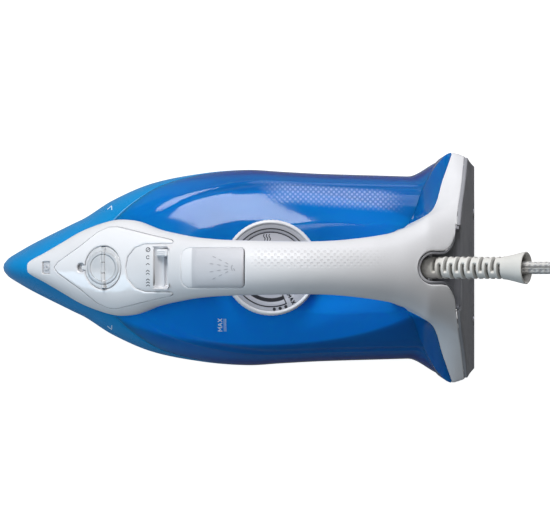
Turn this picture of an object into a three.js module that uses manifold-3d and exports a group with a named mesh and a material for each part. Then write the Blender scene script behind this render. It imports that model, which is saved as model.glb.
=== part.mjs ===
// Steam iron, built as separate pieces. Millimetres, +Z up, nose towards -X, cord towards +X.
import * as THREE from 'three';
import { mergeVertices } from 'three/addons/utils/BufferGeometryUtils.js';
import Module from 'manifold-3d';

const wasm = await Module();
wasm.setup();

// ---------- driving dimensions ----------
const LENGTH = 300;
const HALF_WIDTH = 62;
const GAP = 0.35;
const WALL = 3;

const FACE_TOP = 3.2;
const CASTING_BOTTOM = 3.5;
const CASTING_TOP = 14;
const SHELF_BOTTOM = 17;
const SHELF_TOP = 20;
const TRAY_FLOOR = 23;
const TRAY_TOP = 33;
const CHAMBER_TAIL = 34;
const HEEL_SEAM = 24;
const BODY_TOP = 71;

const DIAL_X = 20.5;
const DIAL_R = 28.8;
const DIAL_BOTTOM = 71.8;
const DIAL_TOP = 78.5;

const FILLER_X = -80;
const FILLER_R = 13.2;
const CREASE_DEPTH = 1;
const NOZZLE_X = -117;
const WINDOW_X = -43.8;
const VALVE_X = -47;
const PUMP_X = -28;
const BUTTON = { front: -31, rear: 5.5, half: 11.4 };
const GUARD_PIVOT = { x: 112, z: 112 };
const GUARD_TILT = THREE.MathUtils.degToRad(30);
const GUARD_LENGTH = 59;
const SLOT_HALF = 9.6;
const SLOT_FLOOR = 98;
const CORD_TAIL_X = 117;
const CORD_R = 3.5;
const COIL = { x: 272, inner: 25.3, outer: 54, height: 14.4 };
const PLUG = { x: 290, y: -74, radius: 18, relief: 22, length: 48 };

// The heel rest is a plane that leans towards the nose as it rises.
const HEEL_FOOT_X = 154.5;
const HEEL_LEAN = 0.225;
const COVER_THICK = 2.5;

// ---------- curves ----------
// Smooth curve through [x, value] stations, flat beyond both ends.
function curveThrough(stations) {
  const slope = stations.map((s, i) => {
    const a = stations[Math.max(i - 1, 0)];
    const b = stations[Math.min(i + 1, stations.length - 1)];
    return (b[1] - a[1]) / (b[0] - a[0]);
  });
  return (x) => {
    const last = stations.length - 1;
    if (x <= stations[0][0]) return stations[0][1];
    if (x >= stations[last][0]) return stations[last][1];
    const i = stations.findIndex((s) => s[0] > x) - 1;
    const span = stations[i + 1][0] - stations[i][0];
    const t = (x - stations[i][0]) / span;
    const h = t * t * (3 - 2 * t);
    const bend = t * (1 - t) * ((1 - t) * slope[i] - t * slope[i + 1]) * span;
    return stations[i][1] * (1 - h) + stations[i + 1][1] * h + bend;
  };
}

const smooth = (from, to, x) => THREE.MathUtils.smoothstep(x, from, to);

// Plan outline of the body: half width along the length.
const planHalf = curveThrough([
  [-150, 2.5], [-147.3, 5.7], [-143.6, 8.2], [-131.6, 15.1], [-106.4, 27.7], [-98, 31.8],
  [-81, 42.6], [-56, 53.3], [-24, 59.6], [4, 61.8], [26, 60.6], [51, 59.3], [114, 57.4],
  [136, 56.3], [142, 54], [145.5, 49], [146.5, 43],
]);
const PLAN_X = [
  -150, -147.3, -142, -131.6, -119, -106.4, -94, -81, -68, -50, -24, 4, 40, 80, 104, 114, 122,
  130, 140, 145.5, 146.5,
];

// Side profile of the white shell's top, its half width, and how deep its rounding is.
const shellTop = curveThrough([
  [-130, 51], [-120, 59], [-110, 65.5], [-80, 81], [-60, 93], [-40, 108.5], [-20, 126], [0, 137.5],
  [25, 144], [45, 145], [70, 141.5], [95, 133.5], [110, 126], [122, 118], [152, 96],
]);
const shellHalf = curveThrough([
  [-130, 4], [-121, 8], [-108, 15.2], [-96, 22], [-84, 26.6], [-74, 29], [-66, 29],
  [-58, 27.6], [-46, 23], [-34, 20], [-20, 17.4], [0, 15.8], [45, 15], [65, 16.2],
  [88, 19.6], [99, 23.2], [106, 26.5], [112, 30], [152, 36],
]);
const shellRounding = curveThrough([
  [-130, 3], [-110, 10], [-90, 17], [-70, 21], [-50, 23], [-30, 21], [0, 16], [45, 14.5],
  [80, 16], [105, 20], [152, 22],
]);
const SHELL_X = [
  -130, -124, -116, -106, -95, -84, -72, -60, -48, -36, -24, -12, 2, 20, 45, 66, 84, 97, 106,
  113, 120, 127, 138, 152,
];
const REAR_WALL = [0.14, 0.32, 0.52, 0.75, 1];

// The white shell spreads into the heel wings below its top.
const wingHalf = curveThrough([[124, 67], [131, 70], [137, 68.5], [142, 66], [152, 64]]);
const wingShare = (x, z) => smooth(100, 128, x)
  * Math.pow(THREE.MathUtils.clamp((118 - z) / 56, 0, 1), 2.2);

// ---------- solids ----------
function solid(geometry) {
  const plain = geometry.clone();
  plain.deleteAttribute('normal');
  plain.deleteAttribute('uv');
  const merged = mergeVertices(plain, 1e-4);
  return new wasm.Manifold(new wasm.Mesh({
    numProp: 3,
    vertProperties: new Float32Array(merged.attributes.position.array),
    triVerts: new Uint32Array(merged.index.array),
  }));
}

const cut = (body, ...tools) => tools.reduce((left, tool) => left.subtract(tool), body);
const join = (...bodies) => bodies.reduce((sum, body) => sum.add(body));
const common = (...bodies) => bodies.reduce((sum, body) => sum.intersect(body));

function toGeometry(body) {
  const mesh = body.getMesh();
  const geometry = new THREE.BufferGeometry();
  geometry.setAttribute('position', new THREE.BufferAttribute(mesh.vertProperties, 3));
  geometry.setIndex(new THREE.BufferAttribute(mesh.triVerts, 1));
  return geometry;
}

// Skin between rings of equal count, closed by a fan at each end.
function loftGeometry(rings) {
  const count = rings[0].length;
  const points = rings.flat();
  const faces = [];
  for (let i = 0; i + 1 < rings.length; i += 1) {
    for (let j = 0; j < count; j += 1) {
      const a = i * count + j;
      const b = i * count + (j + 1) % count;
      faces.push(a, b, b + count, a, b + count, a + count);
    }
  }
  [0, rings.length - 1].forEach((i) => {
    const middle = new THREE.Vector3();
    rings[i].forEach((p) => middle.addScaledVector(p, 1 / count));
    points.push(middle);
    for (let j = 0; j < count; j += 1) {
      const a = i * count + j;
      const b = i * count + (j + 1) % count;
      faces.push(points.length - 1, ...(i === 0 ? [b, a] : [a, b]));
    }
  });
  let volume = 0;
  for (let k = 0; k < faces.length; k += 3) {
    const [a, b, c] = [points[faces[k]], points[faces[k + 1]], points[faces[k + 2]]];
    volume += a.dot(new THREE.Vector3().crossVectors(b, c));
  }
  if (volume < 0) faces.reverse();
  const geometry = new THREE.BufferGeometry().setFromPoints(points);
  geometry.setIndex(faces);
  return geometry;
}

const loft = (rings) => solid(loftGeometry(rings));

function box(x0, x1, y0, y1, z0, z1) {
  const geometry = new THREE.BoxGeometry(x1 - x0, y1 - y0, z1 - z0);
  return solid(geometry.translate((x0 + x1) / 2, (y0 + y1) / 2, (z0 + z1) / 2));
}

// Box and upright cylinder in a local frame.
function boxIn(frame, x0, x1, y0, y1, z0, z1) {
  const geometry = new THREE.BoxGeometry(x1 - x0, y1 - y0, z1 - z0);
  geometry.translate((x0 + x1) / 2, (y0 + y1) / 2, (z0 + z1) / 2);
  return solid(geometry.applyMatrix4(frame));
}

function cylinderIn(frame, radius, z0, z1, sides = 24) {
  const geometry = new THREE.CylinderGeometry(radius, radius, z1 - z0, sides);
  geometry.rotateX(Math.PI / 2).translate(0, 0, (z0 + z1) / 2);
  return solid(geometry.applyMatrix4(frame));
}

const standing = (x, y) => new THREE.Matrix4().makeTranslation(x, y, 0);
const post = (x, y, radius, z0, z1, sides) => cylinderIn(standing(x, y), radius, z0, z1, sides);

function ringPost(x, y, outer, inner, z0, z1, sides) {
  return cut(post(x, y, outer, z0, z1, sides), post(x, y, inner, z0 - 1, z1 + 1, sides));
}

// Prism over a plan outline, and one over a side view that runs across the width.
function prism(shape, z0, z1) {
  const geometry = new THREE.ExtrudeGeometry(shape, {
    depth: z1 - z0, bevelEnabled: false, curveSegments: 6,
  });
  return solid(geometry.translate(0, 0, z0));
}

function sidePrism(points, half) {
  const shape = new THREE.Shape(points.map(([x, z]) => new THREE.Vector2(x, z)));
  const geometry = new THREE.ExtrudeGeometry(shape, { depth: 2 * half, bevelEnabled: false });
  return solid(geometry.rotateX(Math.PI / 2).translate(0, half, 0));
}

// Round tube along a smooth path, closed at both ends.
function tube(points, radius, steps, sides = 8) {
  const section = new THREE.Shape(Array.from({ length: sides }, (_, i) => {
    const a = (2 * Math.PI * i) / sides;
    return new THREE.Vector2(radius * Math.cos(a), radius * Math.sin(a));
  }));
  const extrudePath = new THREE.CatmullRomCurve3(points.map((p) => new THREE.Vector3(...p)));
  return solid(new THREE.ExtrudeGeometry(section, { steps, bevelEnabled: false, extrudePath }));
}

const lathe = (profile, sides = 24) => new THREE.LatheGeometry(
  profile.map(([r, z]) => new THREE.Vector2(r, z)), sides,
).rotateX(Math.PI / 2);

// Frame on the white shell's surface: local z is its normal, local x climbs the slope.
function surfaceFrame(x) {
  const tilt = Math.atan((shellTop(x + 2) - shellTop(x - 2)) / 4);
  const frame = new THREE.Matrix4().makeRotationY(-tilt);
  return frame.setPosition(x, 0, shellTop(x));
}

// ---------- body envelope: skirt below, tank above ----------
const BODY_LEVELS = [
  { z: 4.2, back: 3, narrow: 2.4, flare: 5 },
  { z: 9, back: 0.8, narrow: 0.6, flare: 9 },
  { z: 18, back: 0, narrow: 0, flare: 11 },
  { z: 32, back: 4, narrow: 0.4, flare: 11.5 },
  { z: 43, back: 11, narrow: 3, flare: 13.5 },
  { z: 53, back: 24, narrow: 8, flare: 17 },
  { z: 60, back: 42, narrow: 14, flare: 21 },
  { z: 64, back: 62, narrow: 20, flare: 19 },
  { z: 68, back: 85, narrow: 27, flare: 10 },
  { z: BODY_TOP, back: 115, narrow: 34, flare: 2 },
];

function body(inset = 0, lift = 0) {
  const rings = BODY_LEVELS.map((level, i) => {
    const top = i === BODY_LEVELS.length - 1;
    const nose = -LENGTH / 2 + level.back + 1.6 * inset;
    const share = (HALF_WIDTH - level.narrow - inset) / HALF_WIDTH;
    const side = PLAN_X.map((x) => {
      const s = (x + LENGTH / 2) / LENGTH;
      const spread = level.flare * smooth(106, 131, x);
      const along = nose + (LENGTH / 2 - inset - nose) * s;
      return [along, planHalf(x) * share + spread];
    });
    const z = level.z + lift - (top ? inset : 0);
    return [
      ...side.map(([x, y]) => new THREE.Vector3(x, y, z)),
      ...side.reverse().map(([x, y]) => new THREE.Vector3(x, -y, z)),
    ];
  });
  return loft(rings);
}

// Flat plate with the body's plan outline, drawn in by an inset.
function plate(inset, z0, z1, tail = LENGTH / 2) {
  const ring = (z) => {
    const nose = -LENGTH / 2 + 1.6 * inset;
    const share = (HALF_WIDTH - inset) / HALF_WIDTH;
    const side = PLAN_X.map((x) => {
      const s = (x + LENGTH / 2) / LENGTH;
      return [nose + (tail - inset - nose) * s, planHalf(x) * share];
    });
    return [
      ...side.map(([x, y]) => new THREE.Vector3(x, y, z)),
      ...side.reverse().map(([x, y]) => new THREE.Vector3(x, -y, z)),
    ];
  };
  return loft([ring(z0), ring(z1)]);
}

// Seen from the side, the seam climbs from the heel to the nose.
const SEAM = [
  [-200, 60], [-120, 58], [-92, 56], [-70, 50], [-45, 41], [-10, 32], [40, 26],
  [90, HEEL_SEAM], [200, HEEL_SEAM],
];
const belowSeam = sidePrism([...SEAM, [200, -10], [-200, -10]], 90);
const aboveSeam = sidePrism([...SEAM.map(([x, z]) => [x, z + GAP]), [200, 90], [-200, 90]], 90);

function heelZone(grow) {
  const shape = new THREE.Shape([
    [112 - grow, -28], [128 - grow, -70], [160, -90], [160, 90], [128 - grow, 70],
    [112 - grow, 28],
  ].map(([x, y]) => new THREE.Vector2(x, y)));
  return prism(shape, HEEL_SEAM + GAP - grow, 160);
}

const heelHalfSpace = (offset) => sidePrism([
  [HEEL_FOOT_X + offset, 0], [260, 0], [260, 170],
  [HEEL_FOOT_X + offset - HEEL_LEAN * 170, 170],
], 100);

// ---------- white shell envelope ----------
function shellEnvelope(inset = 0) {
  const rings = SHELL_X.map((x, i) => {
    const along = x + (i === 0 ? 1.6 * inset : 0);
    const top = shellTop(x) - 1.15 * inset;
    const rounding = Math.max(shellRounding(x) - inset, 1.5);
    const half = (z) => shellHalf(x) - inset
      + (wingHalf(x) - shellHalf(x)) * wingShare(x, z);
    const side = [];
    for (let k = 1; k <= 4; k += 1) {
      const a = (Math.PI / 2) * (k / 4);
      const z = top - rounding * (1 - Math.cos(a));
      side.push([half(z) * Math.sin(a), z]);
    }
    const shoulder = top - rounding;
    REAR_WALL.forEach((share) => {
      const z = shoulder + (20 - shoulder) * share;
      side.push([half(z), z]);
    });
    return [
      new THREE.Vector3(along, 0, top),
      ...side.map(([y, z]) => new THREE.Vector3(along, y, z)),
      ...side.reverse().map(([y, z]) => new THREE.Vector3(along, -y, z)),
    ];
  });
  return loft(rings);
}

// Gap under the handle, as seen from the side.
const gapPath = new THREE.CatmullRomCurve3([
  [-13.5, 71.8], [-15.5, 86], [-12, 101], [0, 111.5], [22, 116.3], [46, 117], [66, 114.5],
  [82, 106.5], [90, 92], [90, 71.8],
].map(([x, z]) => new THREE.Vector3(x, 0, z)));
const GRIP_DEPTH = 9;
const GAP_STEPS = 20;

function gapStation(t, depth) {
  const point = gapPath.getPointAt(t);
  const along = gapPath.getTangentAt(t);
  return new THREE.Vector3(point.x - along.z * depth, 0, point.z + along.x * depth);
}

function gapCut(depth) {
  const rim = Array.from({ length: GAP_STEPS + 1 }, (_, i) => gapStation(i / GAP_STEPS, depth));
  const outline = [[rim[0].x, 40], ...rim.map((p) => [p.x, p.z]), [rim[GAP_STEPS].x, 40]];
  return sidePrism(outline, 90);
}

function gripLower() {
  const rings = [];
  for (let i = 0; i <= GAP_STEPS; i += 1) {
    const rim = gapStation(i / GAP_STEPS, GRIP_DEPTH);
    const half = shellHalf(rim.x) - 0.2;
    const arc = (width, depth, count, way) => Array.from({ length: count }, (_, j) => {
      const a = way * Math.PI * (j / (count - 1) - 0.5);
      const into = GRIP_DEPTH - (GRIP_DEPTH - depth) * Math.cos(a);
      const p = gapStation(i / GAP_STEPS, into);
      return new THREE.Vector3(p.x, width * Math.sin(a), p.z);
    });
    rings.push([...arc(half, 0, 9, 1), ...arc(half - 2.6, 2.6, 7, -1)]);
  }
  return loft(rings);
}

// ---------- openings in the white shell ----------
const windowFrame = surfaceFrame(WINDOW_X);
const fillerFrame = surfaceFrame(FILLER_X);
const nozzleFrame = surfaceFrame(NOZZLE_X);

function roundedRectangle(x0, x1, half, front, rear) {
  const shape = new THREE.Shape();
  shape.moveTo(x0 + front, -half);
  shape.lineTo(x1 - rear, -half);
  shape.absarc(x1 - rear, -half + rear, rear, -Math.PI / 2, 0);
  shape.lineTo(x1, half - rear);
  shape.absarc(x1 - rear, half - rear, rear, 0, Math.PI / 2);
  shape.lineTo(x0 + front, half);
  shape.absarc(x0 + front, half - front, front, Math.PI / 2, Math.PI);
  shape.lineTo(x0, -half + front);
  shape.absarc(x0 + front, -half + front, front, Math.PI, 1.5 * Math.PI);
  return shape;
}

const buttonOutline = (grow) => roundedRectangle(
  BUTTON.front - grow, BUTTON.rear + grow, BUTTON.half + grow, 6 + grow, 2.5 + grow,
);

// Moves each corner of a closed counter-clockwise outline outwards.
function grown(points, grow) {
  const count = points.length;
  return points.map((p, i) => {
    const before = p.clone().sub(points[(i + count - 1) % count]).normalize();
    const after = points[(i + 1) % count].clone().sub(p).normalize();
    const out = new THREE.Vector2(before.y + after.y, -before.x - after.x).normalize();
    const reach = grow / Math.max(0.5, out.x * before.y - out.y * before.x);
    return p.clone().addScaledVector(out, reach);
  });
}

const COVER_SIDE = [
  [-95, 12.5], [-84, 21.5], [-75, 24.5], [-62, 22], [-37, 16.2], [-36.5, 14.2], [-54, 14],
  [-62, 9.5],
];

function coverOutline(grow) {
  const upper = COVER_SIDE.map(([x, y]) => new THREE.Vector2(x, y));
  const lower = COVER_SIDE.map(([x, y]) => new THREE.Vector2(x, -y));
  const front = new THREE.Vector2(-111, 0);
  const rear = new THREE.Vector2(-65.5, 0);
  return new THREE.Shape(grown([front, ...lower, rear, ...upper.reverse()], grow));
}

function keyhole(half, z0, z1) {
  const shape = new THREE.Shape();
  const front = GUARD_PIVOT.x + 1.3;
  shape.absarc(front, 0, half, Math.PI / 2, 1.5 * Math.PI);
  shape.lineTo(175, -half);
  shape.lineTo(175, half);
  return prism(shape, z0, z1);
}

const envelope = shellEnvelope();
const envelopeInner = shellEnvelope(WALL);

// ---------- sole group ----------
const STEAM_HOLES = [
  [-122, 0], [-104, 12], [-104, -12], [-88, 20], [-88, -20], [-70, 29], [-70, -29],
  [-50, 36], [-50, -36], [-88, 0], [-62, 8], [-62, -8], [-28, 41], [-28, -41],
];
const SOLE_SCREWS = [[-122, 0], [104, 40], [104, -40]];
const ELEMENT_PATH = [
  [128, 30, 9.6], [70, 32, 9.6], [0, 33, 9.6], [-55, 27, 9.6], [-95, 12, 9.6], [-106, 0, 9.6],
  [-95, -12, 9.6], [-55, -27, 9.6], [0, -33, 9.6], [70, -32, 9.6], [128, -30, 9.6],
];

const steamBores = (radius, z0, z1) => join(
  ...STEAM_HOLES.slice(1).map(([x, y]) => post(x, y, radius, z0, z1, 6)),
);

function soleplate() {
  const bevel = plate(4.6, 0, 1.4, 146);
  const edge = plate(3.2, 1.4, FACE_TOP, 146);
  return cut(join(bevel, edge), steamBores(1.8, -1, FACE_TOP + 1));
}

function soleCasting() {
  const chamber = plate(36, 6, CASTING_TOP + 1, CHAMBER_TAIL);
  const groove = tube(ELEMENT_PATH, 4.2, 24, 6);
  const screws = SOLE_SCREWS.map(([x, y]) => post(x, y, 2.2, 5, CASTING_TOP + 1, 10));
  const bores = steamBores(1.8, CASTING_BOTTOM - 1, 5);
  return cut(plate(8.6, CASTING_BOTTOM, CASTING_TOP, 144), chamber, groove, bores, ...screws);
}

const heatingElement = () => tube(ELEMENT_PATH, 3.5, 24, 6);
const chamberGasket = () => cut(
  plate(31.5, CASTING_TOP + 0.3, CASTING_TOP + 1, CHAMBER_TAIL + 4),
  plate(36, 10, 20, CHAMBER_TAIL),
);
const chamberCover = () => cut(
  plate(31.5, CASTING_TOP + 1.3, CASTING_TOP + 2.5, CHAMBER_TAIL + 4),
  post(VALVE_X, 0, 3, 10, 20, 12),
);

function skirt() {
  const below = plate(5.5, 0, SHELF_BOTTOM, 147);
  const above = common(body(WALL), box(-160, 160, -90, 90, SHELF_TOP, 90));
  const bosses = [-1, 1].map((side) => box(
    128, 143.5, side * 34 - 5, side * 34 + 5, SHELF_TOP - 0.5, 31,
  ));
  const hollow = cut(common(body(), belowSeam), below, above);
  return cut(
    join(hollow, ...bosses),
    post(VALVE_X, 0, 5.6, 10, 30, 16),
    post(DIAL_X, 0, 11.5, 10, 30, 20),
    box(114, 132, -22, 22, 10, 30),
    ...SOLE_SCREWS.map(([x, y]) => post(x, y, 2.2, 10, 30, 10)),
    ...[-1, 1].map((side) => cylinderIn(heelScrewFrame(side), 1.9, -1, 30, 10)),
    heelHalfSpace(-COVER_THICK - GAP),
  );
}

// ---------- tank ----------
function tankBase() {
  const outer = common(body(WALL + GAP), box(-160, 110, -90, 90, TRAY_FLOOR, TRAY_TOP));
  const inner = common(body(WALL + GAP + 2), box(-160, 107, -90, 90, TRAY_FLOOR + 2, 90));
  const column = post(DIAL_X, 0, 7.4, TRAY_FLOOR, BODY_TOP - 4, 16);
  return cut(
    join(cut(outer, inner), column),
    post(DIAL_X, 0, 4.6, 10, 80, 16),
    post(VALVE_X, 0, 4.9, 10, 30, 16),
  );
}

function tankLid() {
  const outside = common(body(), aboveSeam);
  const lip = common(body(WALL + GAP), box(-160, 111, -90, 90, TRAY_TOP + GAP, 90));
  return cut(
    join(outside, lip),
    common(body(WALL + GAP + 2.4), box(-160, 108, -90, 90, 10, 90)),
    common(body(WALL), box(-160, 110.5, -90, 90, 10, TRAY_TOP + GAP)),
    heelZone(GAP),
    post(DIAL_X, 0, 7.9, 50, 90, 16),
    post(VALVE_X, 0, 3, 50, 90, 12),
    post(FILLER_X + 3, 0, 10.4, 50, 90, 20),
  );
}

// ---------- handle group ----------
function handleShell() {
  const ledge = cut(body(-GAP, GAP), heelZone(0));
  const floor = box(-160, 200, -90, 90, -10, HEEL_SEAM + GAP);
  const panelSeat = cut(prism(coverOutline(GAP), 40, 160), shellEnvelope(1.5));
  return cut(
    envelope,
    envelopeInner,
    ledge,
    floor,
    gapCut(GRIP_DEPTH + GAP),
    heelHalfSpace(-COVER_THICK - GAP),
    panelSeat,
    prism(buttonOutline(GAP), 100, 160),
    boxIn(windowFrame, -6, 6, -12.8, 12.8, -12, 10),
    cylinderIn(fillerFrame, FILLER_R, -20, 10),
    flapNotch(),
    boxIn(nozzleFrame, -3.4, 3.4, -3.9, 3.9, -6, 6),
    keyhole(SLOT_HALF, SLOT_FLOOR - 2, 160),
  );
}

const flapNotch = () => boxIn(fillerFrame, -FILLER_R - 5, 0, -1.6, 1.6, -6, 10);

function frontCover() {
  return cut(
    common(cut(envelope, shellEnvelope(1.2)), prism(coverOutline(0), 40, 160)),
    cylinderIn(fillerFrame, FILLER_R, -20, 10),
    flapNotch(),
  );
}

// Cylinder along the filler disc's crease, which is the flap's hinge line.
function alongCrease(radius, y0, y1, sides) {
  const geometry = new THREE.CylinderGeometry(radius, radius, y1 - y0, sides);
  geometry.translate(0, (y0 + y1) / 2, -CREASE_DEPTH);
  return solid(geometry.applyMatrix4(fillerFrame));
}

// Hinge knuckle round the pin, with a web that runs to its half of the disc.
function knuckle(y0, y1, way) {
  const web = [way * 0.8, way * 3].sort((a, b) => a - b);
  return join(
    alongCrease(1.45, y0, y1, 12), boxIn(fillerFrame, ...web, y0, y1, -2.1, -0.7),
  );
}

// The clear filler disc is two halves; the front one lifts about the pin in the crease.
function fillerHalf(front) {
  const skin = cut(envelope, shellEnvelope(1.8));
  const disc = cylinderIn(fillerFrame, FILLER_R - 0.4, -10, 6);
  const tab = boxIn(fillerFrame, -FILLER_R - 4.6, -5, -1.3, 1.3, -10, 6);
  const half = front
    ? common(skin, join(disc, tab), boxIn(fillerFrame, -30, -0.15, -20, 20, -30, 10))
    : common(skin, disc, boxIn(fillerFrame, 0.15, 30, -20, 20, -30, 10));
  const clear = cut(half, alongCrease(front ? 1.95 : 1.65, -16, 16, 12));
  const knuckles = front ? [knuckle(-3, 3, -1)] : [knuckle(-9, -3.5, 1), knuckle(3.5, 9, 1)];
  return cut(join(clear, ...knuckles), alongCrease(1.15, -16, 16, 10));
}

const fillerPin = () => alongCrease(0.9, -9.3, 9.3, 8);

function fillerFunnel() {
  const profile = [[9.2, -12], [10, -12], [10, -7], [12, -4.2], [11.2, -4.2], [9.2, -7], [9.2, -12]];
  return solid(lathe(profile, 20).applyMatrix4(fillerFrame));
}

function sprayNozzle() {
  return cut(
    boxIn(nozzleFrame, -3, 3, -3.5, 3.5, -3.6, -0.9),
    cylinderIn(nozzleFrame, 0.8, -2.4, 0, 8),
  );
}

function slideTrack() {
  return cut(
    boxIn(windowFrame, -5.4, 5.4, -12.3, 12.3, -6.6, -5),
    boxIn(windowFrame, -1.6, 1.6, -11, 11.4, -10, 0),
  );
}

function steamSlider() {
  return join(
    boxIn(windowFrame, -4.6, 4.6, 6.4, 10.9, -4.7, -0.6),
    boxIn(windowFrame, -1.2, 1.2, 7.4, 9.9, -9.5, -4.5),
  );
}

const valveRod = () => join(
  post(VALVE_X, 0, 2, 25.5, 86, 10), post(VALVE_X, 0, 3.6, 84, 87, 10),
);
const valveSeat = () => ringPost(VALVE_X, 0, 4.5, 1.8, CASTING_TOP + 3, 25, 16);

// Everything above the white shell's top line, lowered by a depth.
function aboveTop(depth) {
  const line = Array.from({ length: 12 }, (_, i) => -45 + 5 * i);
  return sidePrism([
    ...line.map((x) => [x, shellTop(x) - depth]), [10, 170], [-45, 170],
  ], 40);
}

const steamButton = () => common(
  shellEnvelope(-0.7), aboveTop(7), prism(buttonOutline(0), 90, 160),
);

const pumpCylinder = () => cut(
  post(PUMP_X, 0, 6.8, 74, 94, 16), post(PUMP_X, 0, 5.2, 76, 95, 16),
);

function pumpPiston() {
  return join(
    post(PUMP_X, 0, 4.9, 84, 88, 16),
    post(PUMP_X, 0, 1.9, 87, 104, 10),
    post(PUMP_X, 0, 6.6, 103, 104.8, 16),
    post(PUMP_X + 5, 0, 2.2, 104, shellTop(PUMP_X + 3) - 7.4, 10),
  );
}

function pumpSpring() {
  const turns = 4;
  const points = Array.from({ length: turns * 8 + 1 }, (_, i) => {
    const a = (2 * Math.PI * i) / 8;
    return [PUMP_X + 5.9 * Math.cos(a), 5.9 * Math.sin(a), 95 + (7 * i) / (turns * 8)];
  });
  return tube(points, 0.5, turns * 9, 5);
}

const sprayHose = () => tube([
  [-35.6, 3, 80], [-43, 11, 79], [-58, 17, 73], [-80, 17.2, 67], [-94, 12, 64.2],
  [-100, 8.5, 62.6], [-104.5, 5.5, 61.2],
], 1.4, 18, 6);

// ---------- temperature control ----------
function temperatureDial() {
  const profile = [
    [0, DIAL_BOTTOM], [DIAL_R - 1.5, DIAL_BOTTOM], [DIAL_R, DIAL_BOTTOM + 1.5],
    [DIAL_R, DIAL_TOP - 0.8], [DIAL_R - 0.8, DIAL_TOP], [DIAL_R - 2.4, DIAL_TOP],
    [DIAL_R - 3, DIAL_TOP - 0.9], [0, DIAL_TOP - 0.9],
  ];
  return solid(lathe(profile, 36).applyMatrix4(standing(DIAL_X, 0)));
}

const dialShaft = () => post(DIAL_X, 0, 4.1, 31, DIAL_BOTTOM - 0.3, 16);
const dialCollar = () => ringPost(DIAL_X, 0, 7.5, 4.6, BODY_TOP - 3.6, DIAL_BOTTOM - 0.4, 16);
const thermostat = () => join(
  post(DIAL_X, 0, 10.5, CASTING_TOP + 0.3, 22, 20), post(DIAL_X, 0, 3, 21.5, 30.5, 10),
);
const thermalFuse = () => cylinderIn(
  new THREE.Matrix4().makeRotationY(Math.PI / 2).setPosition(60, 14, CASTING_TOP + 1.6),
  1.2, -8, 8, 8,
);

// ---------- heel ----------
function heelScrewFrame(side) {
  return new THREE.Matrix4().makeRotationY(Math.PI / 2).setPosition(134, side * 34, 26);
}

function heelCover() {
  return cut(
    common(envelope, heelHalfSpace(-COVER_THICK)),
    heelHalfSpace(0),
    keyhole(SLOT_HALF, SLOT_FLOOR - 2, 160),
    box(100, 200, -90, 90, 0, 20.2),
    ...[-1, 1].map((side) => cylinderIn(heelScrewFrame(side), 2.2, 0, 30, 12)),
    ...[-1, 1].map((side) => cylinderIn(heelScrewFrame(side), 4.2, 13, 30, 12)),
  );
}

const heelScrew = (side) => join(
  cylinderIn(heelScrewFrame(side), 1.6, 1, 13.2, 10),
  cylinderIn(heelScrewFrame(side), 3.6, 13.3, 14.6, 12),
  cylinderIn(heelScrewFrame(side), 1.6, 13, 14, 10),
);

const soleScrew = ([x, y]) => join(
  post(x, y, 1.8, 6, SHELF_TOP + 0.5, 10), post(x, y, 3.6, SHELF_TOP + 0.2, SHELF_TOP + 2.2, 12),
);

function cordCradle() {
  const lining = cut(
    keyhole(SLOT_HALF - GAP, SLOT_FLOOR - 1.5, 160), keyhole(7.7, SLOT_FLOOR + 0.5, 160),
  );
  return cut(
    common(lining, shellEnvelope(0.4)),
    heelHalfSpace(-0.6),
    guardPin(1.85, 30),
    post(CORD_TAIL_X, 0, 4.2, 90, 102, 12),
  );
}

function guardPin(radius, length) {
  const geometry = new THREE.CylinderGeometry(radius, radius, length, 10);
  return solid(geometry.translate(GUARD_PIVOT.x, 0, GUARD_PIVOT.z));
}

// Ribbed bend relief that tilts in the slot; local z runs out along the cord.
const guardFrame = new THREE.Matrix4().makeRotationY(Math.PI / 2 - GUARD_TILT)
  .setPosition(GUARD_PIVOT.x, 0, GUARD_PIVOT.z);

function cordGuard() {
  const profile = [[0, -5.8], [4.1, -4.1], [6.2, 0]];
  for (let z = 8; z < GUARD_LENGTH - 20; z += 6) {
    profile.push([6.4, z], [6.4, z + 3.2], [4.9, z + 3.4], [4.9, z + 5.8]);
  }
  profile.push([6.3, GUARD_LENGTH - 14], [6.6, GUARD_LENGTH - 8], [9.1, GUARD_LENGTH]);
  profile.push([7.6, GUARD_LENGTH], [5.4, GUARD_LENGTH - 7], [0, GUARD_LENGTH - 7]);
  return cut(
    solid(lathe(profile, 12).applyMatrix4(guardFrame)), guardPin(1.75, 30),
  );
}

const cordClamp = () => cut(
  box(CORD_TAIL_X - 6, CORD_TAIL_X + 6, -7, 7, 84, 88),
  post(CORD_TAIL_X, 0, CORD_R + 0.3, 80, 95, 12),
);
const cordTail = () => post(CORD_TAIL_X, 0, CORD_R, 75.5, 100, 12);
const terminalBlock = () => box(113.5, 129, -10, 10, 62, 75);

function wire(side) {
  return tube([
    [122, side * 7, 61.6], [123, side * 9, 50], [124, side * 14, 34], [124, side * 17, 22],
    [125, side * 20, 15.8],
  ], 1.1, 10, 6);
}

const earthWire = () => tube([
  [122, 0, 61.6], [123, 0, 45], [124, 0, 25], [124, 0, CASTING_TOP + 0.4],
], 1.1, 8, 6);

// ---------- free cord, coil and plug ----------
const mouth = new THREE.Vector3(0, 0, GUARD_LENGTH - 6.2).applyMatrix4(guardFrame);

const cordRun = () => tube([
  mouth.toArray(), [169, 0, 144.9], [183.5, 0, 148.8], [198, -1, 144.9], [208.6, -3, 134.3],
  [212.5, -6, 119.8], [213.5, -12, 98], [214, -21, 70], [214, -28, 48], [214, -30, 33.6],
  [214, -26, 18.8], [214, -15.2, 7.8], [214, 0, 3.8],
], CORD_R, 34, 8);

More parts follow.
